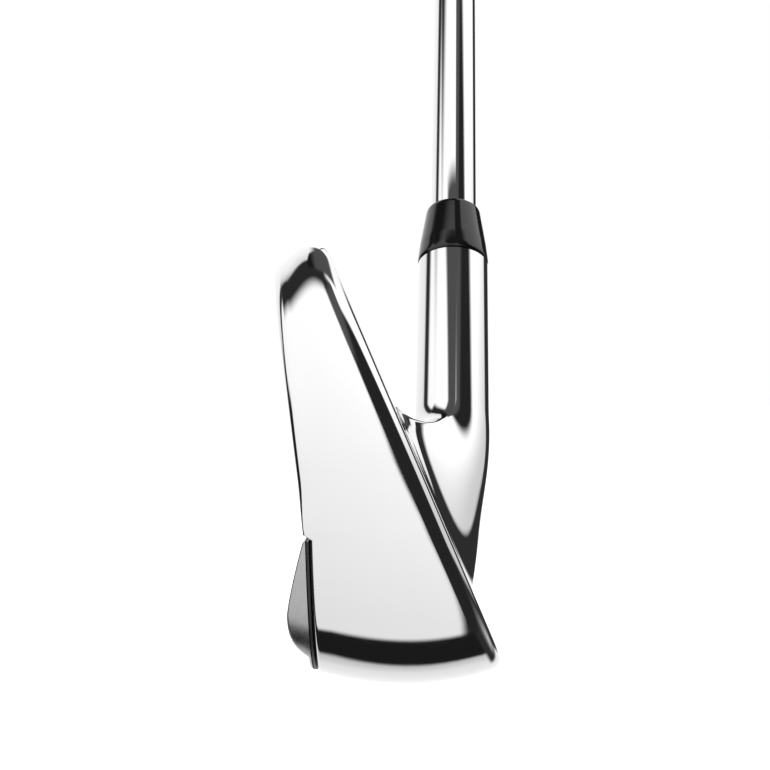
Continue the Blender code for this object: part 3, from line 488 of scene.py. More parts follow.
def rim_section(front, rear, inward, rear_inward, outward, crown, back_round):
    """Points from the face plane over the rim to the back surface, at one place of the outline.

    front and rear are the rim's sharp corners; inward and rear_inward lead from them along the face
    and along the back; outward is the rim's outer side. The crown keeps the rim slightly convex.
    """
    across = (rear - front).normalized()
    start = front + across * FRONT_ROUND
    end = rear - across * back_round
    bulge = front.lerp(rear, 0.5) + outward * 2 * crown
    tangent = (bulge - start).normalized()
    reach = FACE_NORMAL.dot(start - front) / FACE_NORMAL.dot(tangent)
    corner = start - tangent * reach
    points = []
    for i in range(ROUND_STEPS):
        points.append(bezier([front + inward * FRONT_ROUND, corner, start], i / ROUND_STEPS))
    for i in range(WALL_STEPS + 1):
        points.append(bezier([start, bulge, end], i / WALL_STEPS))
    for i in range(1, BACK_STEPS + 1):
        points.append(bezier([end, rear, rear + rear_inward * back_round], i / BACK_STEPS))
    return points


def outline_corners(lower, upper):
    """Where the outline turns from the sole to the toe and from the toe to the topline, as x."""
    return lower[-1].x + LOW_CORNER_INSET, upper[-1].x + HIGH_CORNER_INSET


def blade_strip():
    """The rim of the blade as sections: from the heel under the sole, up the toe, back along the topline."""
    lower, upper = outline()
    low_corner_x, high_corner_x = outline_corners(lower, upper)
    low_corner_z = SOLE_BACK_Z + at_x(lower, low_corner_x) - SOLE_EDGE_Z
    rows = row_heights(low_corner_z, at_x(upper, high_corner_x) - TOPLINE_DROP)
    places = [(x, at_x(lower, x), None) for x in spread(HEEL_X, low_corner_x, COLUMNS)]
    low_shift = places[-1][1] - rows[0]
    for j in range(1, len(rows) - 1):
        share = j / (len(rows) - 1)
        z = rows[j] + low_shift + (TOPLINE_DROP - low_shift) * share
        places.append((toe_x(lower, upper, z), z, rows[j]))
    for x in reversed(spread(HEEL_X, high_corner_x, COLUMNS)):
        places.append((x, at_x(upper, x), at_x(upper, x) - TOPLINE_DROP))
    strip = []
    for k, (x, z, rear_z) in enumerate(places):
        before = places[max(k - 1, 0)]
        after = places[min(k + 1, len(places) - 1)]
        along = Vector((after[0] - before[0], 0.0, after[1] - before[1])).normalized()
        outward = Vector((-along.z, 0.0, along.x))
        if rear_z is None:
            rear_z = SOLE_BACK_Z + z - SOLE_EDGE_Z
        front = Vector((x, face_y(z), z))
        rear = Vector((x, rear_y(x, rear_z), rear_z))
        inward = Vector((-outward.x, -outward.z * math.tan(LOFT), -outward.z)).normalized()
        rear_inward = Vector((-outward.x, -outward.z * SEAT_LEAN, -outward.z)).normalized()
        crown = WALL_CROWN + (SOLE_CROWN - WALL_CROWN) * max(0.0, -outward.z) ** 2
        growth_z = LEDGE_Z + BACK_ROUND_START
        above_ledge = smooth_step(rear_z, growth_z, growth_z + BACK_ROUND_GROWTH)
        back_round = BACK_ROUND_LOW + (BACK_ROUND_HIGH - BACK_ROUND_LOW) * above_ledge
        strip.append(rim_section(front, rear, inward, rear_inward, outward, crown, back_round))
    return strip


def fill_grid(strip, pick):
    """A grid of points inside the edge that pick takes from the strip, as [column][row].

    Each column is spread between the sole and the topline, then pulled towards the toe's curve.
    """
    low = [pick(section) for section in strip[: COLUMNS + 1]]
    high = [pick(section) for section in strip[: -COLUMNS - 2 : -1]]
    toe = [pick(section) for section in strip[COLUMNS : COLUMNS + ROWS + 1]]
    toe_chord = toe[-1] - toe[0]
    shares = [(point - toe[0]).dot(toe_chord) / toe_chord.length_squared for point in toe]
    grid = []
    for i, (bottom, top) in enumerate(zip(low, high)):
        pull = (i / COLUMNS) ** 2
        grid.append([bottom.lerp(top, t) + (point - toe[0].lerp(toe[-1], t)) * pull for point, t in zip(toe, shares)])
    return grid


def lay_on_back(grid):
    """Moves the inner points of a back grid onto the back surface, with one row on each side of the ledge."""
    for column in grid:
        heights = row_heights(column[0].z, column[-1].z)
        for j in range(1, len(column) - 1):
            column[j].z = heights[j]
            column[j].y = rear_y(column[j].x, heights[j])


def ring_angles(loop, corners):
    """Angle round the hosel for each point of a blade section, spread evenly between its corners."""
    angles = [0.0] * len(loop)
    for quarter, (first, last) in enumerate(zip(corners, corners[1:] + [len(loop)])):
        lengths = [0.0]
        for k in range(first, last):
            lengths.append(lengths[-1] + (loop[(k + 1) % len(loop)] - loop[k]).length)
        low, high = NECK_CORNERS[quarter], NECK_CORNERS[quarter + 1]
        for k in range(first, last):
            angles[k] = math.radians(low + (high - low) * lengths[k - first] / lengths[-1])
    return angles


def hosel_point(angle, along, radius):
    """A point round the shaft's axis; angle 0 is the heel side and a quarter turn is the rear."""
    side = Vector((math.cos(SHAFT_LEAN), 0.0, -math.sin(SHAFT_LEAN))) * math.cos(angle)
    return SHAFT_AXIS * along + (side + Vector((0.0, math.sin(angle), 0.0))) * radius


def neck_loops(loop, next_loop, corners):
    """Sections that lead from the blade's heel section to a ring round the hosel."""
    angles = ring_angles(loop, corners)
    loops = []
    for ring in range(1, NECK_RINGS + 1):
        section = []
        for point, neighbour, angle in zip(loop, next_loop, angles):
            share = (1 + math.cos(angle)) / 2
            front = max(0.0, -math.sin(angle))
            swell = Vector((0.0, -NECK_FRONT_SWELL * front, 0.0))
            pulls = Vector(NECK_TOE_PULL).lerp(Vector(NECK_HEEL_PULL), share)
            blade_pull, hosel_pull = pulls.lerp(Vector(NECK_FRONT_PULL), front)
            target = hosel_point(angle, HOSEL_START, HOSEL_RADIUS)
            handles = [
                point,
                point + (point - neighbour).normalized() * blade_pull + swell,
                target - SHAFT_AXIS * hosel_pull + swell,
                target,
            ]
            section.append(bezier(handles, ring / NECK_RINGS))
        loops.append(section)
    chamfer = ((HOSEL_TOP - HOSEL_CHAMFER, HOSEL_RADIUS), (HOSEL_TOP, HOSEL_RADIUS - HOSEL_CHAMFER))
    for along, radius in chamfer:
        loops.append([hosel_point(angle, along, radius) for angle in angles])
    return loops


def head_mesh(name):
    """The closed outside of the head, from the toe to the top of the hosel."""
    strip = blade_strip()
    face = fill_grid(strip, lambda section: section[0])
    back = fill_grid(strip, lambda section: section[-1])
    lay_on_back(back)
    points = []
    faces = []

    def add(point):
        points.append(point)
        return len(points) - 1

    strip_ids = [[add(point) for point in section] for section in strip]

    def grid_ids(grid, end):
        ids = []
        for i in range(COLUMNS):
            inner = [add(point) for point in grid[i][1:-1]]
            ids.append([strip_ids[i][end], *inner, strip_ids[-1 - i][end]])
        ids.append([section[end] for section in strip_ids[COLUMNS : COLUMNS + ROWS + 1]])
        return ids

    def skin(ids):
        for a, b in zip(ids, ids[1:]):
            for k in range(len(a) - 1):
                faces.append((a[k], a[k + 1], b[k + 1], b[k]))

    face_ids = grid_ids(face, 0)
    back_ids = grid_ids(back, -1)
    skin(strip_ids)
    skin(face_ids)
    skin(back_ids)

    def section_ids(column):
        top = strip_ids[-1 - column]
        return strip_ids[column] + back_ids[column][1:-1] + top[::-1] + face_ids[column][-2:0:-1]

    width = len(strip_ids[0])
    corners = [0, width - 1, width + ROWS - 1, 2 * width + ROWS - 2]
    first = section_ids(0)
    loop = [points[k] for k in first]
    next_loop = [points[k] for k in section_ids(1)]
    closed = [first + first[:1]]
    for section in neck_loops(loop, next_loop, corners):
        ids = [add(point) for point in section]
        closed.append(ids + ids[:1])
    skin(closed)
    faces.append(tuple(closed[-1][:-1]))
    return closed_mesh(name, points, faces)


# ---------------------------------------------------------------- cutters inside the head


def inner_outline(distance, heel_x, samples=64):
    """The head's front view moved inwards, cut straight at heel_x, as one loop of (x, z)."""
    lower, upper = outline(samples)
    lower = inset(lower, distance, -1)
    upper = inset(upper, distance, 1)
    low = [Vector((heel_x, at_x(lower, heel_x)))] + lower[-samples - 1 :]
    high = [Vector((heel_x, at_x(upper, heel_x)))] + upper[-samples - 1 : -1]
    return low + high[::-1]


def face_plate(name, distance, heel_x, front, thickness):
    """A flat plate in the face plane; front is how far its outer side lies inside that plane."""
    loop = inner_outline(distance, heel_x)
    sides = []
    for depth in (front, front + thickness):
        sides.append([Vector((x, face_y(z), z)) - FACE_NORMAL * depth for x, z in loop])
    return prism(name, *sides)


def core_cavity(name):
    """The hollow behind the face, a convex block between the face plane and the rear wall."""
    bm = bmesh.new()
    loop = inner_outline(CAVITY_MARGIN, CORE_HEEL_X, 14)
    low_z = min(z for _, z in loop)
    for x, z in loop:
        rear_z = z - (TOPLINE_DROP + 1.0) * (z - low_z) / (PEAK_Z - low_z)
        near = Vector((x, face_y(z), z)) + FACE_NORMAL
        far = Vector((x, rear_y(x, rear_z) - REAR_WALL, rear_z))
        for point in (near, far):
            bm.verts.new(to_world(point))
        if z > LEDGE_Z:
            bm.verts.new(to_world((x, seat_y(LEDGE_Z) - REAR_WALL, LEDGE_Z)))
    bmesh.ops.convex_hull(bm, input=bm.verts)
    loose = [vert for vert in bm.verts if not vert.link_faces]
    bmesh.ops.delete(bm, geom=loose, context="VERTS")
    mesh = bpy.data.meshes.new(name)
    bm.to_mesh(mesh)
    bm.free()
    return mesh


def round_bar(name, low, high, radius, sides=48):
    """A round bar between two points."""
    along = (high - low).normalized()
    side = along.orthogonal().normalized()
    other = along.cross(side)
    rings = []
    for end in (low, high):
        rings.append([end + (side * math.cos(a) + other * math.sin(a)) * radius for a in turns(sides)])
    return prism(name, *rings)


def score_line_ends(z):
    """Heel and toe end of the scoreline at the height z; the topline shortens the high ones."""
    clear_x = PEAK_X + (PEAK_Z - SCORE_CLEARANCE - z) / math.tan(TOPLINE_SLOPE)
    return min(LINE_HEEL_X, clear_x), LINE_TOE_X


def score_lines():
    """One cutter with a bar for every scoreline, whose ends rise to the face as a milling cutter leaves them."""
    up_face = Vector((0.0, math.sin(LOFT), math.cos(LOFT)))
    stations = ((0.0, 0.1), (0.3, 0.55), (0.65, 0.88), (1.0, 1.0))
    corners = ((-0.5, -0.5), (0.5, -0.5), (0.5, 0.0), (0.22, 1.0), (-0.22, 1.0), (-0.5, 0.0))
    points = []
    faces = []
    for index in range(LINE_COUNT):
        z = FIRST_LINE_Z + index * LINE_PITCH * math.cos(LOFT)
        heel, toe = score_line_ends(z)
        places = [(heel - share * LINE_RUN_OUT, depth) for share, depth in stations]
        places += [(toe + share * LINE_RUN_OUT, depth) for share, depth in reversed(stations)]
        first = len(points)
        for x, share in places:
            middle = Vector((x, face_y(z), z))
            for across, depth in corners:
                sideways = up_face * across * LINE_WIDTH * (0.4 + 0.6 * share)
                inwards = depth * LINE_DEPTH * (share if depth > 0.0 else 1.0)
                points.append(middle + sideways - FACE_NORMAL * inwards)
        last = len(points) - 6
        faces.append(tuple(range(first, first + 6)))
        faces.append(tuple(range(last + 5, last - 1, -1)))
        for start in range(first, last, 6):
            for k in range(6):
                after = (k + 1) % 6
                faces.append((start + k, start + 6 + k, start + 6 + after, start + after))
    return closed_mesh("score_lines", points, faces)


# ---------------------------------------------------------------- badge layers


def resample(path, count):
    """The path as count + 1 points, evenly spaced along it."""
    lengths = [0.0]
    for a, b in zip(path, path[1:]):
        lengths.append(lengths[-1] + (b - a).length)
    made = []
    k = 0
    for i in range(count + 1):
        target = lengths[-1] * i / count
        while k < len(path) - 2 and lengths[k + 1] < target:
            k += 1
        share = (target - lengths[k]) / (lengths[k + 1] - lengths[k])
        made.append(path[k].lerp(path[k + 1], min(share, 1.0)))
    return made


def badge_sides(distance, corner_steps=8, samples=80):
    """The badge seat's lower and upper sides, moved inwards, each from the heel end to the toe corner."""
    lower, _ = outline(samples)
    lower = [Vector((point.x, point.y - rear_drop(point.y))) for point in inset(lower, distance, -1)]
    heel_x = BADGE_HEEL_X - distance
    low_z = at_x(lower, BADGE_HEEL_X)
    top_z = LEDGE_Z - distance * BADGE_TOP_SHARE
    corner = Vector((heel_x, low_z))
    low_arc = [corner + Vector((0.0, BADGE_CORNER)), corner, corner - Vector((BADGE_CORNER, 0.0))]
    corner = Vector((heel_x, top_z))
    top_arc = [corner - Vector((0.0, BADGE_CORNER)), corner, corner - Vector((BADGE_CORNER, 0.0))]
    toe_corner = Vector((at_z(lower, top_z), top_z))
    low = [bezier(low_arc, k / corner_steps) for k in range(corner_steps + 1)]
    low += [point for point in lower if point.x < low[-1].x - 0.5 and point.y < top_z - 0.1]
    low.append(toe_corner)
    high = [bezier(top_arc, k / corner_steps) for k in range(corner_steps + 1)]
    high.append(toe_corner)
    return low, high


def badge_swell(x, z):
    """Thickness of the badge over its seat: thin at the ledge and the heel end, full below, round at the sole."""
    fall = max(0.0, (BADGE_FULL_Z - z) / BADGE_FULL_Z)
    rise = max(0.0, (z - BADGE_FULL_Z) / (LEDGE_Z - BADGE_FULL_Z))
    swell = BADGE_FULL - (BADGE_FULL - LEDGE_DEPTH) * rise**BADGE_TOP_CURVE
    swell = max(BADGE_INNER + BADGE_LEAST, swell - BADGE_SOLE_FALL * fall**3)
    ramp = BADGE_HEEL_THICKNESS + (BADGE_HEEL_X - BADGE_MARGIN - x) * BADGE_HEEL_SLOPE
    return min(swell, ramp)


def distance_to(path, point):
    """Distance from the point to the open path."""
    best = 1e9
    for a, b in zip(path, path[1:]):
        along = b - a
        share = min(max((point - a).dot(along) / along.length_squared, 0.0), 1.0)
        best = min(best, (point - a - along * share).length)
    return best


def badge_layer(name, inner, outer, edge_round, size):
    """A plate on the badge seat, whose outer side falls off round its edge.

    inner and outer are distances from the seat; outer is a function of x, z and the distance to the edge.
    """
    low, high = badge_sides(BADGE_MARGIN)
    rim = low[::-1] + high
    columns, rows = size
    margin = smooth_step(0.0, -ROW_CROWDING, 1.0 + ROW_CROWDING)
    points = []
    grid = []
    for a, b in zip(resample(low, columns), resample(high, columns)):
        column = []
        for j in range(rows + 1):
            share = smooth_step(j / rows, -ROW_CROWDING, 1.0 + ROW_CROWDING)
            flat = a.lerp(b, (share - margin) / (1 - 2 * margin))
            edge = distance_to(rim, flat)
            depth = max(0.0, edge_round - edge)
            drop = edge_round - math.sqrt(edge_round**2 - depth**2)
            column.append(len(points))
            points.append(Vector((flat.x, seat_y(flat.y) + outer(flat.x, flat.y, edge) - drop, flat.y)))
        grid.append(column)
    count = len(points)
    for k in range(count):
        x, _, z = points[k]
        points.append(Vector((x, seat_y(z) + inner, z)))
    faces = []
    for a, b in zip(grid, grid[1:]):
        for j in range(rows):
            quad = (a[j], a[j + 1], b[j + 1], b[j])
            faces.append(quad)
            faces.append(tuple(k + count for k in reversed(quad)))
    rim_ids = grid[0][::-1] + [column[0] for column in grid[1:]] + [column[-1] for column in grid[:0:-1]]
    for a, b in zip(rim_ids, rim_ids[1:] + rim_ids[:1]):
        faces.append((a, b, b + count, a + count))
    return closed_mesh(name, points, faces, weld_m=WELD_M)


# ---------------------------------------------------------------- turned pieces


def soften(profile, size, steps=4):
    """The closed profile of (radius, along) with each corner rounded over at most that size."""
    made = []
    count = len(profile)
    for k in range(count):
        before, corner, after = (Vector(profile[(k + shift) % count]) for shift in (-1, 0, 1))
        reach = min(size, (before - corner).length * 0.45, (after - corner).length * 0.45)
        start = corner + (before - corner).normalized() * reach
        end = corner + (after - corner).normalized() * reach
        for i in range(steps + 1):
            made.append(bezier([start, corner, end], i / steps))
    return made


def skin_rings(name, rings, smooth_below=SMOOTH_BELOW):
    """A closed surface through rings of equally many points; the last ring joins the first."""
    count = len(rings[0])
    points = [point for ring in rings for point in ring]
    faces = []
    for i in range(len(rings)):
        a = i * count
        b = (i + 1) % len(rings) * count
        for k in range(count):
            after = (k + 1) % count
            faces.append((a + k, a + after, b + after, b + k))
    return closed_mesh(name, points, faces, smooth_below)


def turned(name, profile, sides=FINE_SIDES):
    """A ring turned about the shaft's axis from a closed profile of (radius, distance along the axis)."""
    rings = [[hosel_point(angle, along, radius) for angle in turns(sides)] for radius, along in profile]
    return skin_rings(name, rings)


def shaft_profile():
    """Outer side of the stepped shaft from the butt to the tip, then its bore back to the butt."""
    butt_end = CLUB_LENGTH - CAP_LENGTH - GAP
    step_height = (BUTT_RADIUS - TIP_RADIUS) / STEP_COUNT
    outer = [(BUTT_RADIUS, butt_end)]
    for index in reversed(range(STEP_COUNT)):
        along = FIRST_STEP + index * STEP_PITCH
        radius = TIP_RADIUS + index * step_height
        outer.append((radius + step_height, along + STEP_LENGTH))
        outer.append((radius, along))
    outer.append((TIP_RADIUS, TIP_END + TIP_CHAMFER))
    outer.append((TIP_RADIUS - TIP_CHAMFER, TIP_END))
    last_step = FIRST_STEP + (STEP_COUNT - 1) * STEP_PITCH
    inner = [
        (TIP_RADIUS - SHAFT_WALL, TIP_END),
        (TIP_RADIUS - SHAFT_WALL, FIRST_STEP),
        (BUTT_RADIUS - SHAFT_WALL, last_step + STEP_LENGTH),
        (BUTT_RADIUS - SHAFT_WALL, butt_end),
    ]
    return outer + inner


def ferrule_profile():
    low = HOSEL_TOP + THIN_GAP
    high = low + FERRULE_LENGTH
    bore = TIP_RADIUS + THIN_GAP
    return [
        (bore, high),
        (FERRULE_TOP_RADIUS - 0.2, high),
        (FERRULE_TOP_RADIUS, high - 0.6),
        (HOSEL_RADIUS - 0.28, low + 4.0),
        (HOSEL_RADIUS + 0.02, low + 1.0),
        (HOSEL_RADIUS + 0.02, low),
        (bore, low),
    ]


def cap_profile():
    high = CLUB_LENGTH
    low = high - CAP_LENGTH
    return [
        (VENT_RADIUS, high - 0.9),
        (VENT_RADIUS + 0.7, high - 0.5),
        (CAP_DISH_RADIUS, high - 0.5),
        (CAP_DISH_RADIUS + 0.4, high),
        (CAP_RADIUS - 2.0, high),
        (CAP_RADIUS - 0.2, high - 1.5),
        (CAP_RADIUS, high - 2.8),
        (CAP_RADIUS - 0.1, low),
        (CAP_BOSS_RADIUS, low),
        (CAP_BOSS_RADIUS, low - CAP_BOSS_LENGTH),
        (VENT_RADIUS, low - CAP_BOSS_LENGTH),
    ]


def tube_profile(inner, outer, low, high):
    return [(outer, high), (outer, low), (inner, low), (inner, high)]


def grip_radius(share):
    """Outer radius of the grip, from its mouth at 0 to its butt at 1."""
    return GRIP_MOUTH_RADIUS + (GRIP_BUTT_RADIUS - GRIP_MOUTH_RADIUS) * share**GRIP_TAPER_POWER


def groove(offset, half_width):
    """Depth share of a round-bottomed groove at a sideways distance from its middle."""
    if abs(offset) >= half_width:
        return 0.0
    return (0.5 + 0.5 * math.cos(math.pi * offset / half_width)) ** 0.8


def grip_pattern(angle, from_mouth, radius):
    """How deep the moulded pattern is: two families of spiral grooves in zones between plain rings."""
    length = GRIP_LENGTH - CAP_LENGTH
    if from_mouth < GRIP_PLAIN_END or from_mouth > length - GRIP_PLAIN_END:
        ring = min(abs(from_mouth - place) for place in (4.0, 6.5, 9.0, length - 4.0, length - 6.5))
        return GRIP_GROOVE_DEPTH * groove(ring, 0.7)
    zone = (length - 2 * GRIP_PLAIN_END) / GRIP_ZONES
    into = (from_mouth - GRIP_PLAIN_END) % zone
    edge = min(into, zone - into)
    if edge < GRIP_ZONE_RING:
        return GRIP_GROOVE_DEPTH * groove(edge, 0.6)
    deepest = 0.0
    for turn in (-1, 1):
        phase = angle / (2 * math.pi) * GRIP_STARTS + turn * from_mouth / GRIP_DIAMOND_LENGTH
        sideways = (phase - round(phase)) * 2 * math.pi * radius / GRIP_STARTS
        deepest = max(deepest, groove(sideways, GRIP_GROOVE_HALF_WIDTH))
    return GRIP_GROOVE_DEPTH * deepest * smooth_step(edge, GRIP_ZONE_RING, GRIP_ZONE_RING + 0.8)


def grip_mesh(name):
    low = CLUB_LENGTH - GRIP_LENGTH
    high = CLUB_LENGTH - CAP_LENGTH - GAP
    sides, rows = GRIP_GRID
    angles = turns(sides)
    rings = []
    for k in range(rows, -1, -1):
        share = k / rows
        along = low + 0.6 + (high - 0.3 - low - 0.6) * share
        radius = grip_radius(share)
        ring = []
        for angle in angles:
            depth = grip_pattern(angle, along - low, radius)
            ring.append(hosel_point(angle, along, radius - depth))
        rings.append(ring)
    top_edge = (grip_radius(1.0) - 0.3, high)
    mouth = [(GRIP_MOUTH_RADIUS - 0.15, low + 0.15), (GRIP_MOUTH_RADIUS - 0.5, low)]
    bore = [(GRIP_BORE_RADIUS + 0.2, low), (GRIP_BORE_RADIUS, low + 0.3), (GRIP_BORE_RADIUS, high)]
    for radius, along in mouth + bore + [top_edge]:
        rings.append([hosel_point(angle, along, radius) for angle in angles])
    return skin_rings(name, rings, 50.0)


# ---------------------------------------------------------------- materials


def new_material(name, colour, metallic, roughness):
    """A Principled material with even values, whose tree the caller adds detail to."""
    material = bpy.data.materials.new(name)
    material.use_nodes = True
    shader = material.node_tree.nodes["Principled BSDF"]
    shader.inputs["Base Color"].default_value = (*colour, 1.0)
    shader.inputs["Metallic"].default_value = metallic
    shader.inputs["Roughness"].default_value = roughness
    return material, material.node_tree, shader


def surface_place(tree, stretch=(1.0, 1.0, 1.0), along_shaft=False):
    """Object coordinates, stretched, and turned so that Z runs along the shaft if asked."""
    coordinates = tree.nodes.new("ShaderNodeTexCoord")
    turn = tree.nodes.new("ShaderNodeMapping")
    turn.inputs["Rotation"].default_value = (0.0, -SHAFT_LEAN if along_shaft else 0.0, 0.0)
    tree.links.new(coordinates.outputs["Object"], turn.inputs["Vector"])
    size = tree.nodes.new("ShaderNodeMapping")
    size.inputs["Scale"].default_value = stretch
    tree.links.new(turn.outputs["Vector"], size.inputs["Vector"])
    return size.outputs["Vector"]


def noise(tree, place, scale, detail=2.0, rough=0.5):
    texture = tree.nodes.new("ShaderNodeTexNoise")
    texture.inputs["Scale"].default_value = scale
    texture.inputs["Detail"].default_value = detail
    texture.inputs["Roughness"].default_value = rough
    tree.links.new(place, texture.inputs["Vector"])
    return texture.outputs["Fac"]


def spots(tree, place, scale):
    """Distance to the nearest cell centre: grains and pits."""
    texture = tree.nodes.new("ShaderNodeTexVoronoi")
    texture.inputs["Scale"].default_value = scale
    tree.links.new(place, texture.inputs["Vector"])
    return texture.outputs["Distance"]


def spread_value(tree, value, low, high, start=0.0, end=1.0):
    """The value's range from start to end, mapped to low to high."""
    mapping = tree.nodes.new("ShaderNodeMapRange")
    mapping.inputs["From Min"].default_value = start
    mapping.inputs["From Max"].default_value = end
    mapping.inputs["To Min"].default_value = low
    mapping.inputs["To Max"].default_value = high
    tree.links.new(value, mapping.inputs["Value"])
    return mapping.outputs["Result"]


def blend_colours(tree, value, first, second):
    mixer = tree.nodes.new("ShaderNodeMix")
    mixer.data_type = "RGBA"
    tree.links.new(value, mixer.inputs["Factor"])
    mixer.inputs[6].default_value = (*first, 1.0)
    mixer.inputs[7].default_value = (*second, 1.0)
    return mixer.outputs[2]


def calculate(tree, operation, first, second):
    """A Math node; each of first and second is a socket or a number."""
    sum_node = tree.nodes.new("ShaderNodeMath")
    sum_node.operation = operation
    for socket, value in zip(sum_node.inputs, (first, second)):
        if isinstance(value, (int, float)):
            socket.default_value = value
        else:
            tree.links.new(value, socket)
    return sum_node.outputs["Value"]


def raise_surface(tree, shader, height, depth_mm):
    """Bump of that height in millimetres, added to any that the shader has already."""
    bump = tree.nodes.new("ShaderNodeBump")
    bump.inputs["Distance"].default_value = depth_mm * MM
    tree.links.new(height, bump.inputs["Height"])
    if shader.inputs["Normal"].is_linked:
        tree.links.new(shader.inputs["Normal"].links[0].from_socket, bump.inputs["Normal"])
    tree.links.new(bump.outputs["Normal"], shader.inputs["Normal"])


def polished_chrome(name, dull, bright, low_rough, high_rough):
    """Plated and buffed steel: soft cloudiness, faint buffing lines and a trace of waviness."""
    material, tree, shader = new_material(name, bright, 1.0, low_rough)
    place = surface_place(tree)
    clouds = noise(tree, place, 45.0, 3.0)
    buffing = noise(tree, surface_place(tree, (1.0, 1.0, 14.0)), 260.0, 2.0)
    haze = calculate(tree, "MULTIPLY", clouds, buffing)
    tree.links.new(blend_colours(tree, clouds, dull, bright), shader.inputs["Base Color"])
    tree.links.new(spread_value(tree, haze, low_rough, high_rough, 0.12, 0.42), shader.inputs["Roughness"])
    raise_surface(tree, shader, noise(tree, place, 55.0, 1.0), 0.004)
    return material


def shaft_chrome():
    """Chromed tube: bright, with fine drawing lines along it."""
    material, tree, shader = new_material("shaft_chrome", (0.82, 0.82, 0.83), 1.0, 0.05)
    lines = noise(tree, surface_place(tree, (1.0, 1.0, 0.02), True), 2400.0, 2.0)
    clouds = noise(tree, surface_place(tree, (1.0, 1.0, 0.25), True), 120.0, 3.0)
    colour = blend_colours(tree, clouds, (0.80, 0.80, 0.80), (0.86, 0.86, 0.86))
    tree.links.new(colour, shader.inputs["Base Color"])
    tree.links.new(spread_value(tree, clouds, 0.035, 0.075, 0.3, 0.7), shader.inputs["Roughness"])
    raise_surface(tree, shader, lines, 0.0001)
    return material


def milled_face():
    """Strike face: blasted between the ends of the scorelines, with a fly-cut grain, and polished outside them."""
    material, tree, shader = new_material("milled_face", (0.66, 0.66, 0.67), 1.0, 0.3)
    place = surface_place(tree)
    axes = tree.nodes.new("ShaderNodeSeparateXYZ")
    tree.links.new(place, axes.inputs["Vector"])
    middle_x = GROUND_POINT_M.x + (LINE_HEEL_X + LINE_TOE_X) / 2 * MM
    half_width = (LINE_HEEL_X - LINE_TOE_X) / 2 * MM + BLAST_MARGIN * MM
    sideways = calculate(tree, "ABSOLUTE", calculate(tree, "SUBTRACT", axes.outputs["X"], middle_x), 0.0)
    blasted = spread_value(tree, sideways, 1.0, 0.0, half_width - BLAST_EDGE * MM, half_width)
    grain = noise(tree, place, 5200.0, 2.0)
    milling = noise(tree, surface_place(tree, (0.03, 1.0, 1.0)), 2600.0, 1.0)
    roughness = calculate(tree, "MULTIPLY", blasted, spread_value(tree, grain, 0.26, 0.42, 0.3, 0.7))
    tree.links.new(calculate(tree, "ADD", roughness, POLISHED_ROUGHNESS), shader.inputs["Roughness"])
    tint = calculate(tree, "MULTIPLY", blasted, spread_value(tree, grain, 0.7, 1.0, 0.3, 0.7))
    tree.links.new(blend_colours(tree, tint, (0.80, 0.81, 0.82), (0.50, 0.50, 0.51)), shader.inputs["Base Color"])
    raise_surface(tree, shader, calculate(tree, "MULTIPLY", blasted, milling), 0.002)
    raise_surface(tree, shader, calculate(tree, "MULTIPLY", blasted, grain), 0.0015)
    return material


def brushed_badge():
    """Satin plate brushed from heel to toe."""
    material, tree, shader = new_material("brushed_badge", (0.42, 0.43, 0.44), 1.0, 0.3)
    strokes = noise(tree, surface_place(tree, (0.035, 1.0, 1.0)), 5200.0, 3.0, 0.65)
    streaks = noise(tree, surface_place(tree, (0.08, 1.0, 1.0)), 700.0, 3.0)
    colour = blend_colours(tree, strokes, (0.42, 0.42, 0.425), (0.54, 0.54, 0.545))
    tree.links.new(colour, shader.inputs["Base Color"])
    tree.links.new(spread_value(tree, streaks, 0.22, 0.30, 0.3, 0.7), shader.inputs["Roughness"])
    raise_surface(tree, shader, strokes, 0.003)
    shader.inputs["Anisotropic"].default_value = 0.4
    return material


def moulded_black(name, colour, low_rough, high_rough, grain_scale, grain_mm):
    """Black plastic or rubber with a moulded grain."""
    material, tree, shader = new_material(name, colour, 0.0, high_rough)
    place = surface_place(tree)
    clouds = noise(tree, place, 90.0, 4.0)
    grain = noise(tree, place, grain_scale, 2.0)
    lighter = tuple(min(1.0, value * 1.7 + 0.003) for value in colour)
    tree.links.new(blend_colours(tree, clouds, colour, lighter), shader.inputs["Base Color"])
    tree.links.new(spread_value(tree, grain, low_rough, high_rough, 0.3, 0.7), shader.inputs["Roughness"])
    raise_surface(tree, shader, grain, grain_mm)
    return material


def grip_rubber():
    """Matt rubber: dusty, in a tone that varies at random, with a pitted skin."""
    material, tree, shader = new_material("grip_rubber", (0.022, 0.022, 0.023), 0.0, 0.6)
    place = surface_place(tree)
    dust = noise(tree, place, 60.0, 5.0, 0.6)
    pits = spots(tree, place, 2600.0)
    colour = blend_colours(tree, dust, (0.014, 0.014, 0.015), (0.040, 0.040, 0.041))
    tree.links.new(colour, shader.inputs["Base Color"])
    tree.links.new(spread_value(tree, dust, 0.52, 0.74, 0.3, 0.7), shader.inputs["Roughness"])
    raise_surface(tree, shader, pits, 0.03)
    shader.inputs["Specular IOR Level"].default_value = 0.4
    return material


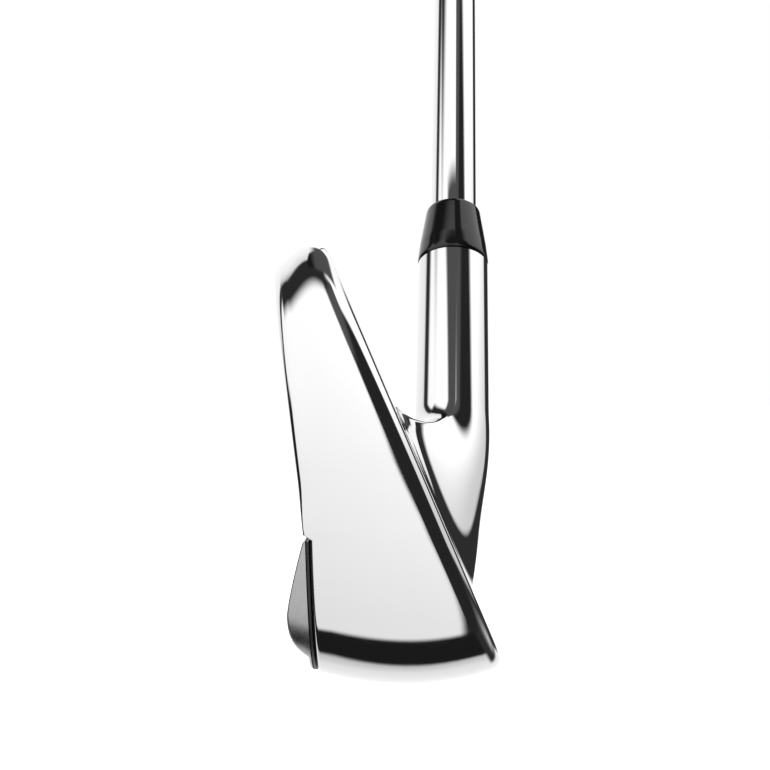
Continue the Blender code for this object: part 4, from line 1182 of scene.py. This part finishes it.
def striped_band():
    """Printed film round the shaft: dark, with thin silver rings near both ends."""
    material, tree, shader = new_material("striped_band", (0.03, 0.03, 0.035), 0.0, 0.25)
    place = surface_place(tree, along_shaft=True)
    axes = tree.nodes.new("ShaderNodeSeparateXYZ")
    tree.links.new(place, axes.inputs["Vector"])
    middle = (BAND_LOW + BAND_LENGTH / 2 - CLUB_LENGTH) * MM + BUTT_ALONG_M
    from_middle = calculate(tree, "ABSOLUTE", calculate(tree, "SUBTRACT", axes.outputs["Z"], middle), 0.0)
    ring = 0.0
    for offset, half_width in BAND_RINGS:
        away = calculate(tree, "ABSOLUTE", calculate(tree, "SUBTRACT", from_middle, offset * MM), 0.0)
        ring = calculate(tree, "MAXIMUM", ring, calculate(tree, "LESS_THAN", away, half_width * MM))
    speckle = noise(tree, place, 1500.0, 2.0)
    tree.links.new(blend_colours(tree, ring, (0.018, 0.019, 0.022), (0.62, 0.63, 0.64)), shader.inputs["Base Color"])
    tree.links.new(calculate(tree, "MULTIPLY", ring, 0.9), shader.inputs["Metallic"])
    tree.links.new(spread_value(tree, speckle, 0.18, 0.30, 0.3, 0.7), shader.inputs["Roughness"])
    raise_surface(tree, shader, speckle, 0.001)
    return material


def plain_metal(name, dark, light, low_rough, high_rough, scale, depth_mm):
    """Machined or cast metal inside the club."""
    material, tree, shader = new_material(name, light, 1.0, high_rough)
    place = surface_place(tree)
    grain = noise(tree, place, scale, 4.0)
    tree.links.new(blend_colours(tree, grain, dark, light), shader.inputs["Base Color"])
    tree.links.new(spread_value(tree, grain, low_rough, high_rough, 0.3, 0.7), shader.inputs["Roughness"])
    raise_surface(tree, shader, grain, depth_mm)
    return material


def soft_filling(name, dark, light, low_rough, high_rough, scale, depth_mm):
    """Glue, tape, foam or cast rubber inside the club."""
    material, tree, shader = new_material(name, light, 0.0, high_rough)
    place = surface_place(tree)
    cells = spots(tree, place, scale)
    clouds = noise(tree, place, scale / 6.0, 4.0)
    tree.links.new(blend_colours(tree, clouds, dark, light), shader.inputs["Base Color"])
    tree.links.new(spread_value(tree, cells, low_rough, high_rough), shader.inputs["Roughness"])
    raise_surface(tree, shader, cells, depth_mm)
    return material


# ---------------------------------------------------------------- stage, lights and camera


def aim(obj, place, target):
    """Stands the object at the place with its -Z towards the target."""
    turn = (target - place).to_track_quat("-Z", "Y").to_matrix().to_4x4()
    obj.matrix_world = Matrix.Translation(place) @ turn


def add_camera():
    camera = bpy.data.cameras.new("camera")
    camera.lens = CAMERA_LENS
    camera.sensor_width = CAMERA_SENSOR
    camera.clip_start = 0.001
    obj = bpy.data.objects.new("camera", camera)
    bpy.context.scene.collection.objects.link(obj)
    place = to_world(CAMERA_PLACE)
    aim(obj, place, place + Vector((1.0, 0.0, 0.0)))
    obj.matrix_world = obj.matrix_world @ Matrix.Rotation(CAMERA_ROLL, 4, "Z")
    bpy.context.scene.camera = obj
def window(tree, value, low, high, low_soft, high_soft):
    """1 where the value lies between low and high, fading out over the soft margins."""
    rising = spread_value(tree, value, 0.0, 1.0, low - low_soft, low + low_soft)
    falling = spread_value(tree, value, 1.0, 0.0, high - high_soft, high + high_soft)
    for result in (rising, falling):
        result.node.interpolation_type = "SMOOTHSTEP"
    return calculate(tree, "MULTIPLY", rising, falling)


def lay_over(tree, light, mask, value):
    """The light, replaced by an even value where the mask is 1."""
    mixer = tree.nodes.new("ShaderNodeMix")
    tree.links.new(mask, mixer.inputs["Factor"])
    tree.links.new(light, mixer.inputs[2])
    mixer.inputs[3].default_value = value
    return mixer.outputs[0]


def add_studio_world():
    """Soft white surroundings with dark cards, given by direction.

    The tilt is the angle from the toe's direction, the clock the angle around it from straight up
    towards +Y, both in degrees.
    """
    world = bpy.data.worlds.new("studio")
    bpy.context.scene.world = world
    world.use_nodes = True
    tree = world.node_tree
    coordinates = tree.nodes.new("ShaderNodeTexCoord")
    axes = tree.nodes.new("ShaderNodeSeparateXYZ")
    tree.links.new(coordinates.outputs["Generated"], axes.inputs["Vector"])
    across = axes.outputs["Y"]
    upwards = axes.outputs["Z"]
    toe_share = calculate(tree, "MULTIPLY", axes.outputs["X"], -1.0)
    tilt = calculate(tree, "DEGREES", calculate(tree, "ARCCOSINE", toe_share, 0.0), 0.0)
    clock = calculate(tree, "DEGREES", calculate(tree, "ARCTAN2", across, upwards), 0.0)

    light = spread_value(tree, upwards, FRONT_LOW, FRONT_HIGH, -0.9, 0.8)
    light = calculate(tree, "ADD", light, spread_value(tree, across, FRONT_SIDE, 0.0, -0.5, 0.3))
    behind = spread_value(tree, upwards, 0.0, BEHIND_TOP, 0.0, 0.5)
    for start, end, low, high in BEHIND_STEPS:
        behind = calculate(tree, "ADD", behind, spread_value(tree, tilt, low, high, start, end))
    mixer = tree.nodes.new("ShaderNodeMix")
    tree.links.new(spread_value(tree, tilt, 0.0, 1.0, 98.0, 108.0), mixer.inputs["Factor"])
    tree.links.new(light, mixer.inputs[2])
    tree.links.new(behind, mixer.inputs[3])
    light = mixer.outputs[0]

    for low, high, low_soft, high_soft, middle, half, side_soft, value, edges in STUDIO_CARDS:
        mask = window(tree, tilt, low, high, low_soft, high_soft)
        offset = tree.nodes.new("ShaderNodeMath")
        offset.operation = "WRAP"
        tree.links.new(calculate(tree, "SUBTRACT", clock, middle), offset.inputs[0])
        offset.inputs[1].default_value = 180.0
        offset.inputs[2].default_value = -180.0
        sideways = calculate(tree, "ABSOLUTE", offset.outputs["Value"], 0.0)
        mask = calculate(tree, "MULTIPLY", mask, window(tree, sideways, -90.0, half, 1.0, side_soft))
        for edge in edges:
            side = tree.nodes.new("ShaderNodeVectorMath")
            side.operation = "DOT_PRODUCT"
            tree.links.new(coordinates.outputs["Generated"], side.inputs[0])
            side.inputs[1].default_value = Vector(edge).normalized()
            inside = window(tree, side.outputs["Value"], 0.0, 9.0, CARD_EDGE_SOFT, 1.0)
            mask = calculate(tree, "MULTIPLY", mask, inside)
        light = lay_over(tree, light, mask, value)
    background = tree.nodes["Background"]
    tree.links.new(light, background.inputs["Color"])
    background.inputs["Strength"].default_value = 1.0


def new_mesh_object(name, fill):
    bm = bmesh.new()
    fill(bm)
    mesh = bpy.data.meshes.new(name)
    bm.to_mesh(mesh)
    bm.free()
    obj = bpy.data.objects.new(name, mesh)
    bpy.context.scene.collection.objects.link(obj)
    return obj


def glowing(name, strength):
    material = bpy.data.materials.new(name)
    material.use_nodes = True
    tree = material.node_tree
    tree.nodes.clear()
    glow = tree.nodes.new("ShaderNodeEmission")
    glow.inputs["Strength"].default_value = strength
    output = tree.nodes.new("ShaderNodeOutputMaterial")
    tree.links.new(glow.outputs["Emission"], output.inputs["Surface"])
    return material


def hide_from(obj, *kinds):
    for kind in kinds:
        setattr(obj, "visible_" + kind, False)


def add_overhead_card():
    """A small soft-edged dark card just above the head, seen only in reflections."""
    card = new_mesh_object(
        "overhead_card", lambda bm: bmesh.ops.create_grid(bm, x_segments=1, y_segments=1, size=0.5)
    )
    low, high = Vector(OVERHEAD_LOW), Vector(OVERHEAD_HIGH)
    size = (high - low) * MM
    card.matrix_world = Matrix.Translation(to_world((low + high) / 2)) @ Matrix.Diagonal((size.x, size.y, 1.0, 1.0))
    material = glowing("overhead_card", OVERHEAD_VALUE)
    tree = material.node_tree
    glow = tree.nodes["Emission"]
    output = tree.nodes["Material Output"]
    coordinates = tree.nodes.new("ShaderNodeTexCoord")
    axes = tree.nodes.new("ShaderNodeSeparateXYZ")
    tree.links.new(coordinates.outputs["Generated"], axes.inputs["Vector"])
    soft_x, soft_y = OVERHEAD_SOFT
    mask = calculate(
        tree,
        "MULTIPLY",
        window(tree, axes.outputs["X"], soft_x, 1.0 - soft_x, soft_x, soft_x),
        window(tree, axes.outputs["Y"], soft_y, 1.0 - soft_y, soft_y, soft_y),
    )
    clear = tree.nodes.new("ShaderNodeBsdfTransparent")
    mixer = tree.nodes.new("ShaderNodeMixShader")
    tree.links.new(mask, mixer.inputs["Fac"])
    tree.links.new(clear.outputs["BSDF"], mixer.inputs[1])
    tree.links.new(glow.outputs["Emission"], mixer.inputs[2])
    tree.links.new(mixer.outputs["Shader"], output.inputs["Surface"])
    card.data.materials.append(material)
    hide_from(card, "camera", "shadow", "diffuse", "transmission")


def add_stage():
    bpy.context.scene.view_settings.view_transform = "Standard"
    add_studio_world()
    add_overhead_card()
    backdrop = new_mesh_object(
        "backdrop", lambda bm: bmesh.ops.create_uvsphere(bm, u_segments=48, v_segments=24, radius=BACKDROP_M)
    )
    backdrop.data.materials.append(glowing("backdrop_white", 1.0))
    hide_from(backdrop, "shadow", "diffuse", "glossy", "transmission")
    floor = new_mesh_object(
        "floor", lambda bm: bmesh.ops.create_circle(bm, cap_ends=True, segments=96, radius=FLOOR_M)
    )
    floor.location = (GROUND_POINT_M.x, 0.0, cad_low[2] - FLOOR_GAP * MM)
    pale, tree, shader = new_material("floor_white", (0.93, 0.93, 0.93), 0.0, 0.8)
    shader.inputs["Emission Color"].default_value = (1.0, 1.0, 1.0, 1.0)
    shader.inputs["Emission Strength"].default_value = 0.75
    floor.data.materials.append(pale)
    hide_from(floor, "shadow", "diffuse", "glossy", "transmission")


# ---------------------------------------------------------------- the club's pieces




# ---------------------------------------------------------------- the club's pieces


def make_head():
    port_axis = Vector((0.0, math.cos(math.atan(SEAT_LEAN)), -math.sin(math.atan(SEAT_LEAN))))
    port = Vector((PORT_X, seat_y(PORT_Z), PORT_Z))
    depth = FACE_THICKNESS + THIN_GAP + CUT_OVERRUN
    pocket = face_plate("face_pocket", INSERT_MARGIN - SEAM, INSERT_HEEL_X + SEAM, -CUT_OVERRUN, depth)
    bore = round_bar("bore", SHAFT_AXIS * BORE_BOTTOM, SHAFT_AXIS * (HOSEL_TOP + CUT_OVERRUN), BORE_RADIUS)
    port_end = port + port_axis * CUT_OVERRUN
    fill_port = round_bar("fill_port", port - port_axis * PORT_DEPTH, port_end, PORT_RADIUS)
    cuts = [("DIFFERENCE", mesh) for mesh in (pocket, core_cavity("core_cavity"), bore, fill_port)]
    mesh = carved("head_shell", head_mesh("shell"), cuts)
    add_piece("head_shell", mesh, MATERIALS["head_chrome"], "polished_chrome", "head_body")


def make_face():
    plate = face_plate("plate", INSERT_MARGIN, INSERT_HEEL_X, 0.0, FACE_THICKNESS)
    mesh = carved("strike_face", plate, [("DIFFERENCE", score_lines())], FACE_SMOOTH_BELOW)
    add_piece("strike_face", mesh, MATERIALS["milled_face"], "blasted_steel", "face_cup")


def badge_outer(x, z, edge):
    """Outer side of the badge plate, with a shallow panel sunk inside a border."""
    return badge_swell(x, z) - PANEL_DEPTH * smooth_step(edge, PANEL_INSET - PANEL_EDGE, PANEL_INSET + PANEL_EDGE)


def make_badge():
    plate = badge_layer("badge_plate_fine", BADGE_INNER, badge_outer, BADGE_EDGE, BADGE_GRID)
    add_piece("badge_plate_fine", plate, MATERIALS["brushed_badge"], "brushed_badge", "badge_plate")
    backing = badge_layer(
        "badge_backing_fine", BACKING_INNER, lambda x, z, edge: BACKING_OUTER, BACKING_EDGE, BACKING_GRID
    )
    add_piece("badge_backing_fine", backing, MATERIALS["black_polymer"], "black_polymer", "badge_backing")


def make_shaft_pieces():
    axis_pieces = (
        ("ferrule_fine", soften(ferrule_profile(), 0.5), 128, "gloss_black", "gloss_black", "ferrule"),
        ("shaft_tube", soften(shaft_profile(), 0.5), 128, "shaft_chrome", "polished_chrome", "shaft"),
        ("cap_fine", soften(cap_profile(), 0.5), 96, "grip_rubber", "grip_rubber", "grip_end_cap"),
    )
    for name, profile, sides, material, slot, node in axis_pieces:
        add_piece(name, turned(name, profile, sides), MATERIALS[material], slot, node)
    inner = BUTT_RADIUS + THIN_GAP
    profile = tube_profile(inner, inner + BAND_THICKNESS, BAND_LOW, BAND_LOW + BAND_LENGTH)
    band = turned("band_wrap", soften(profile, 0.05), 128)
    add_piece("band_wrap", band, MATERIALS["striped_band"], "printed_band", "shaft_band")
    grip = grip_mesh("grip_sleeve")
    add_piece("grip_sleeve", grip, MATERIALS["grip_rubber"], "grip_rubber", "grip")


def dress_inner_nodes():
    """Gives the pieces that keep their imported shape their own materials."""
    finishes = {
        "badge_adhesive": soft_filling("foam_tape", (0.05, 0.05, 0.05), (0.14, 0.14, 0.14), 0.7, 0.95, 2400.0, 0.05),
        "fill_port_plug": plain_metal("plug_steel", (0.42, 0.42, 0.43), (0.58, 0.58, 0.59), 0.25, 0.4, 900.0, 0.01),
        "damping_core": soft_filling("urethane", (0.42, 0.08, 0.34), (0.60, 0.15, 0.48), 0.35, 0.6, 700.0, 0.04),
        "toe_weight": plain_metal("toe_alloy", (0.20, 0.20, 0.21), (0.34, 0.34, 0.35), 0.4, 0.6, 1500.0, 0.02),
        "heel_weight": plain_metal("heel_alloy", (0.20, 0.20, 0.21), (0.34, 0.34, 0.35), 0.4, 0.6, 1500.0, 0.02),
        "hosel_bond": soft_filling("epoxy", (0.60, 0.52, 0.32), (0.76, 0.68, 0.46), 0.2, 0.45, 900.0, 0.02),
        "tip_weight": plain_metal("brass", (0.60, 0.44, 0.19), (0.78, 0.60, 0.28), 0.2, 0.38, 1100.0, 0.01),
        "grip_tape": soft_filling("grip_tape", (0.62, 0.57, 0.44), (0.80, 0.75, 0.60), 0.65, 0.9, 1600.0, 0.03),
    }
    for name, material in finishes.items():
        node = frame["nodes"][name]
        node.data.materials.clear()
        node.data.materials.append(material)


MATERIALS = {
    "head_chrome": polished_chrome("head_chrome", (0.80, 0.80, 0.80), (0.86, 0.86, 0.86), 0.03, 0.07),
    "shaft_chrome": shaft_chrome(),
    "milled_face": milled_face(),
    "brushed_badge": brushed_badge(),
    "black_polymer": moulded_black("black_polymer", (0.010, 0.010, 0.011), 0.3, 0.45, 3000.0, 0.01),
    "gloss_black": moulded_black("gloss_black", (0.005, 0.005, 0.006), 0.06, 0.11, 500.0, 0.0004),
    "grip_rubber": grip_rubber(),
    "striped_band": striped_band(),
}

make_head()
make_face()
make_badge()
make_shaft_pieces()
dress_inner_nodes()
add_camera()
add_stage()
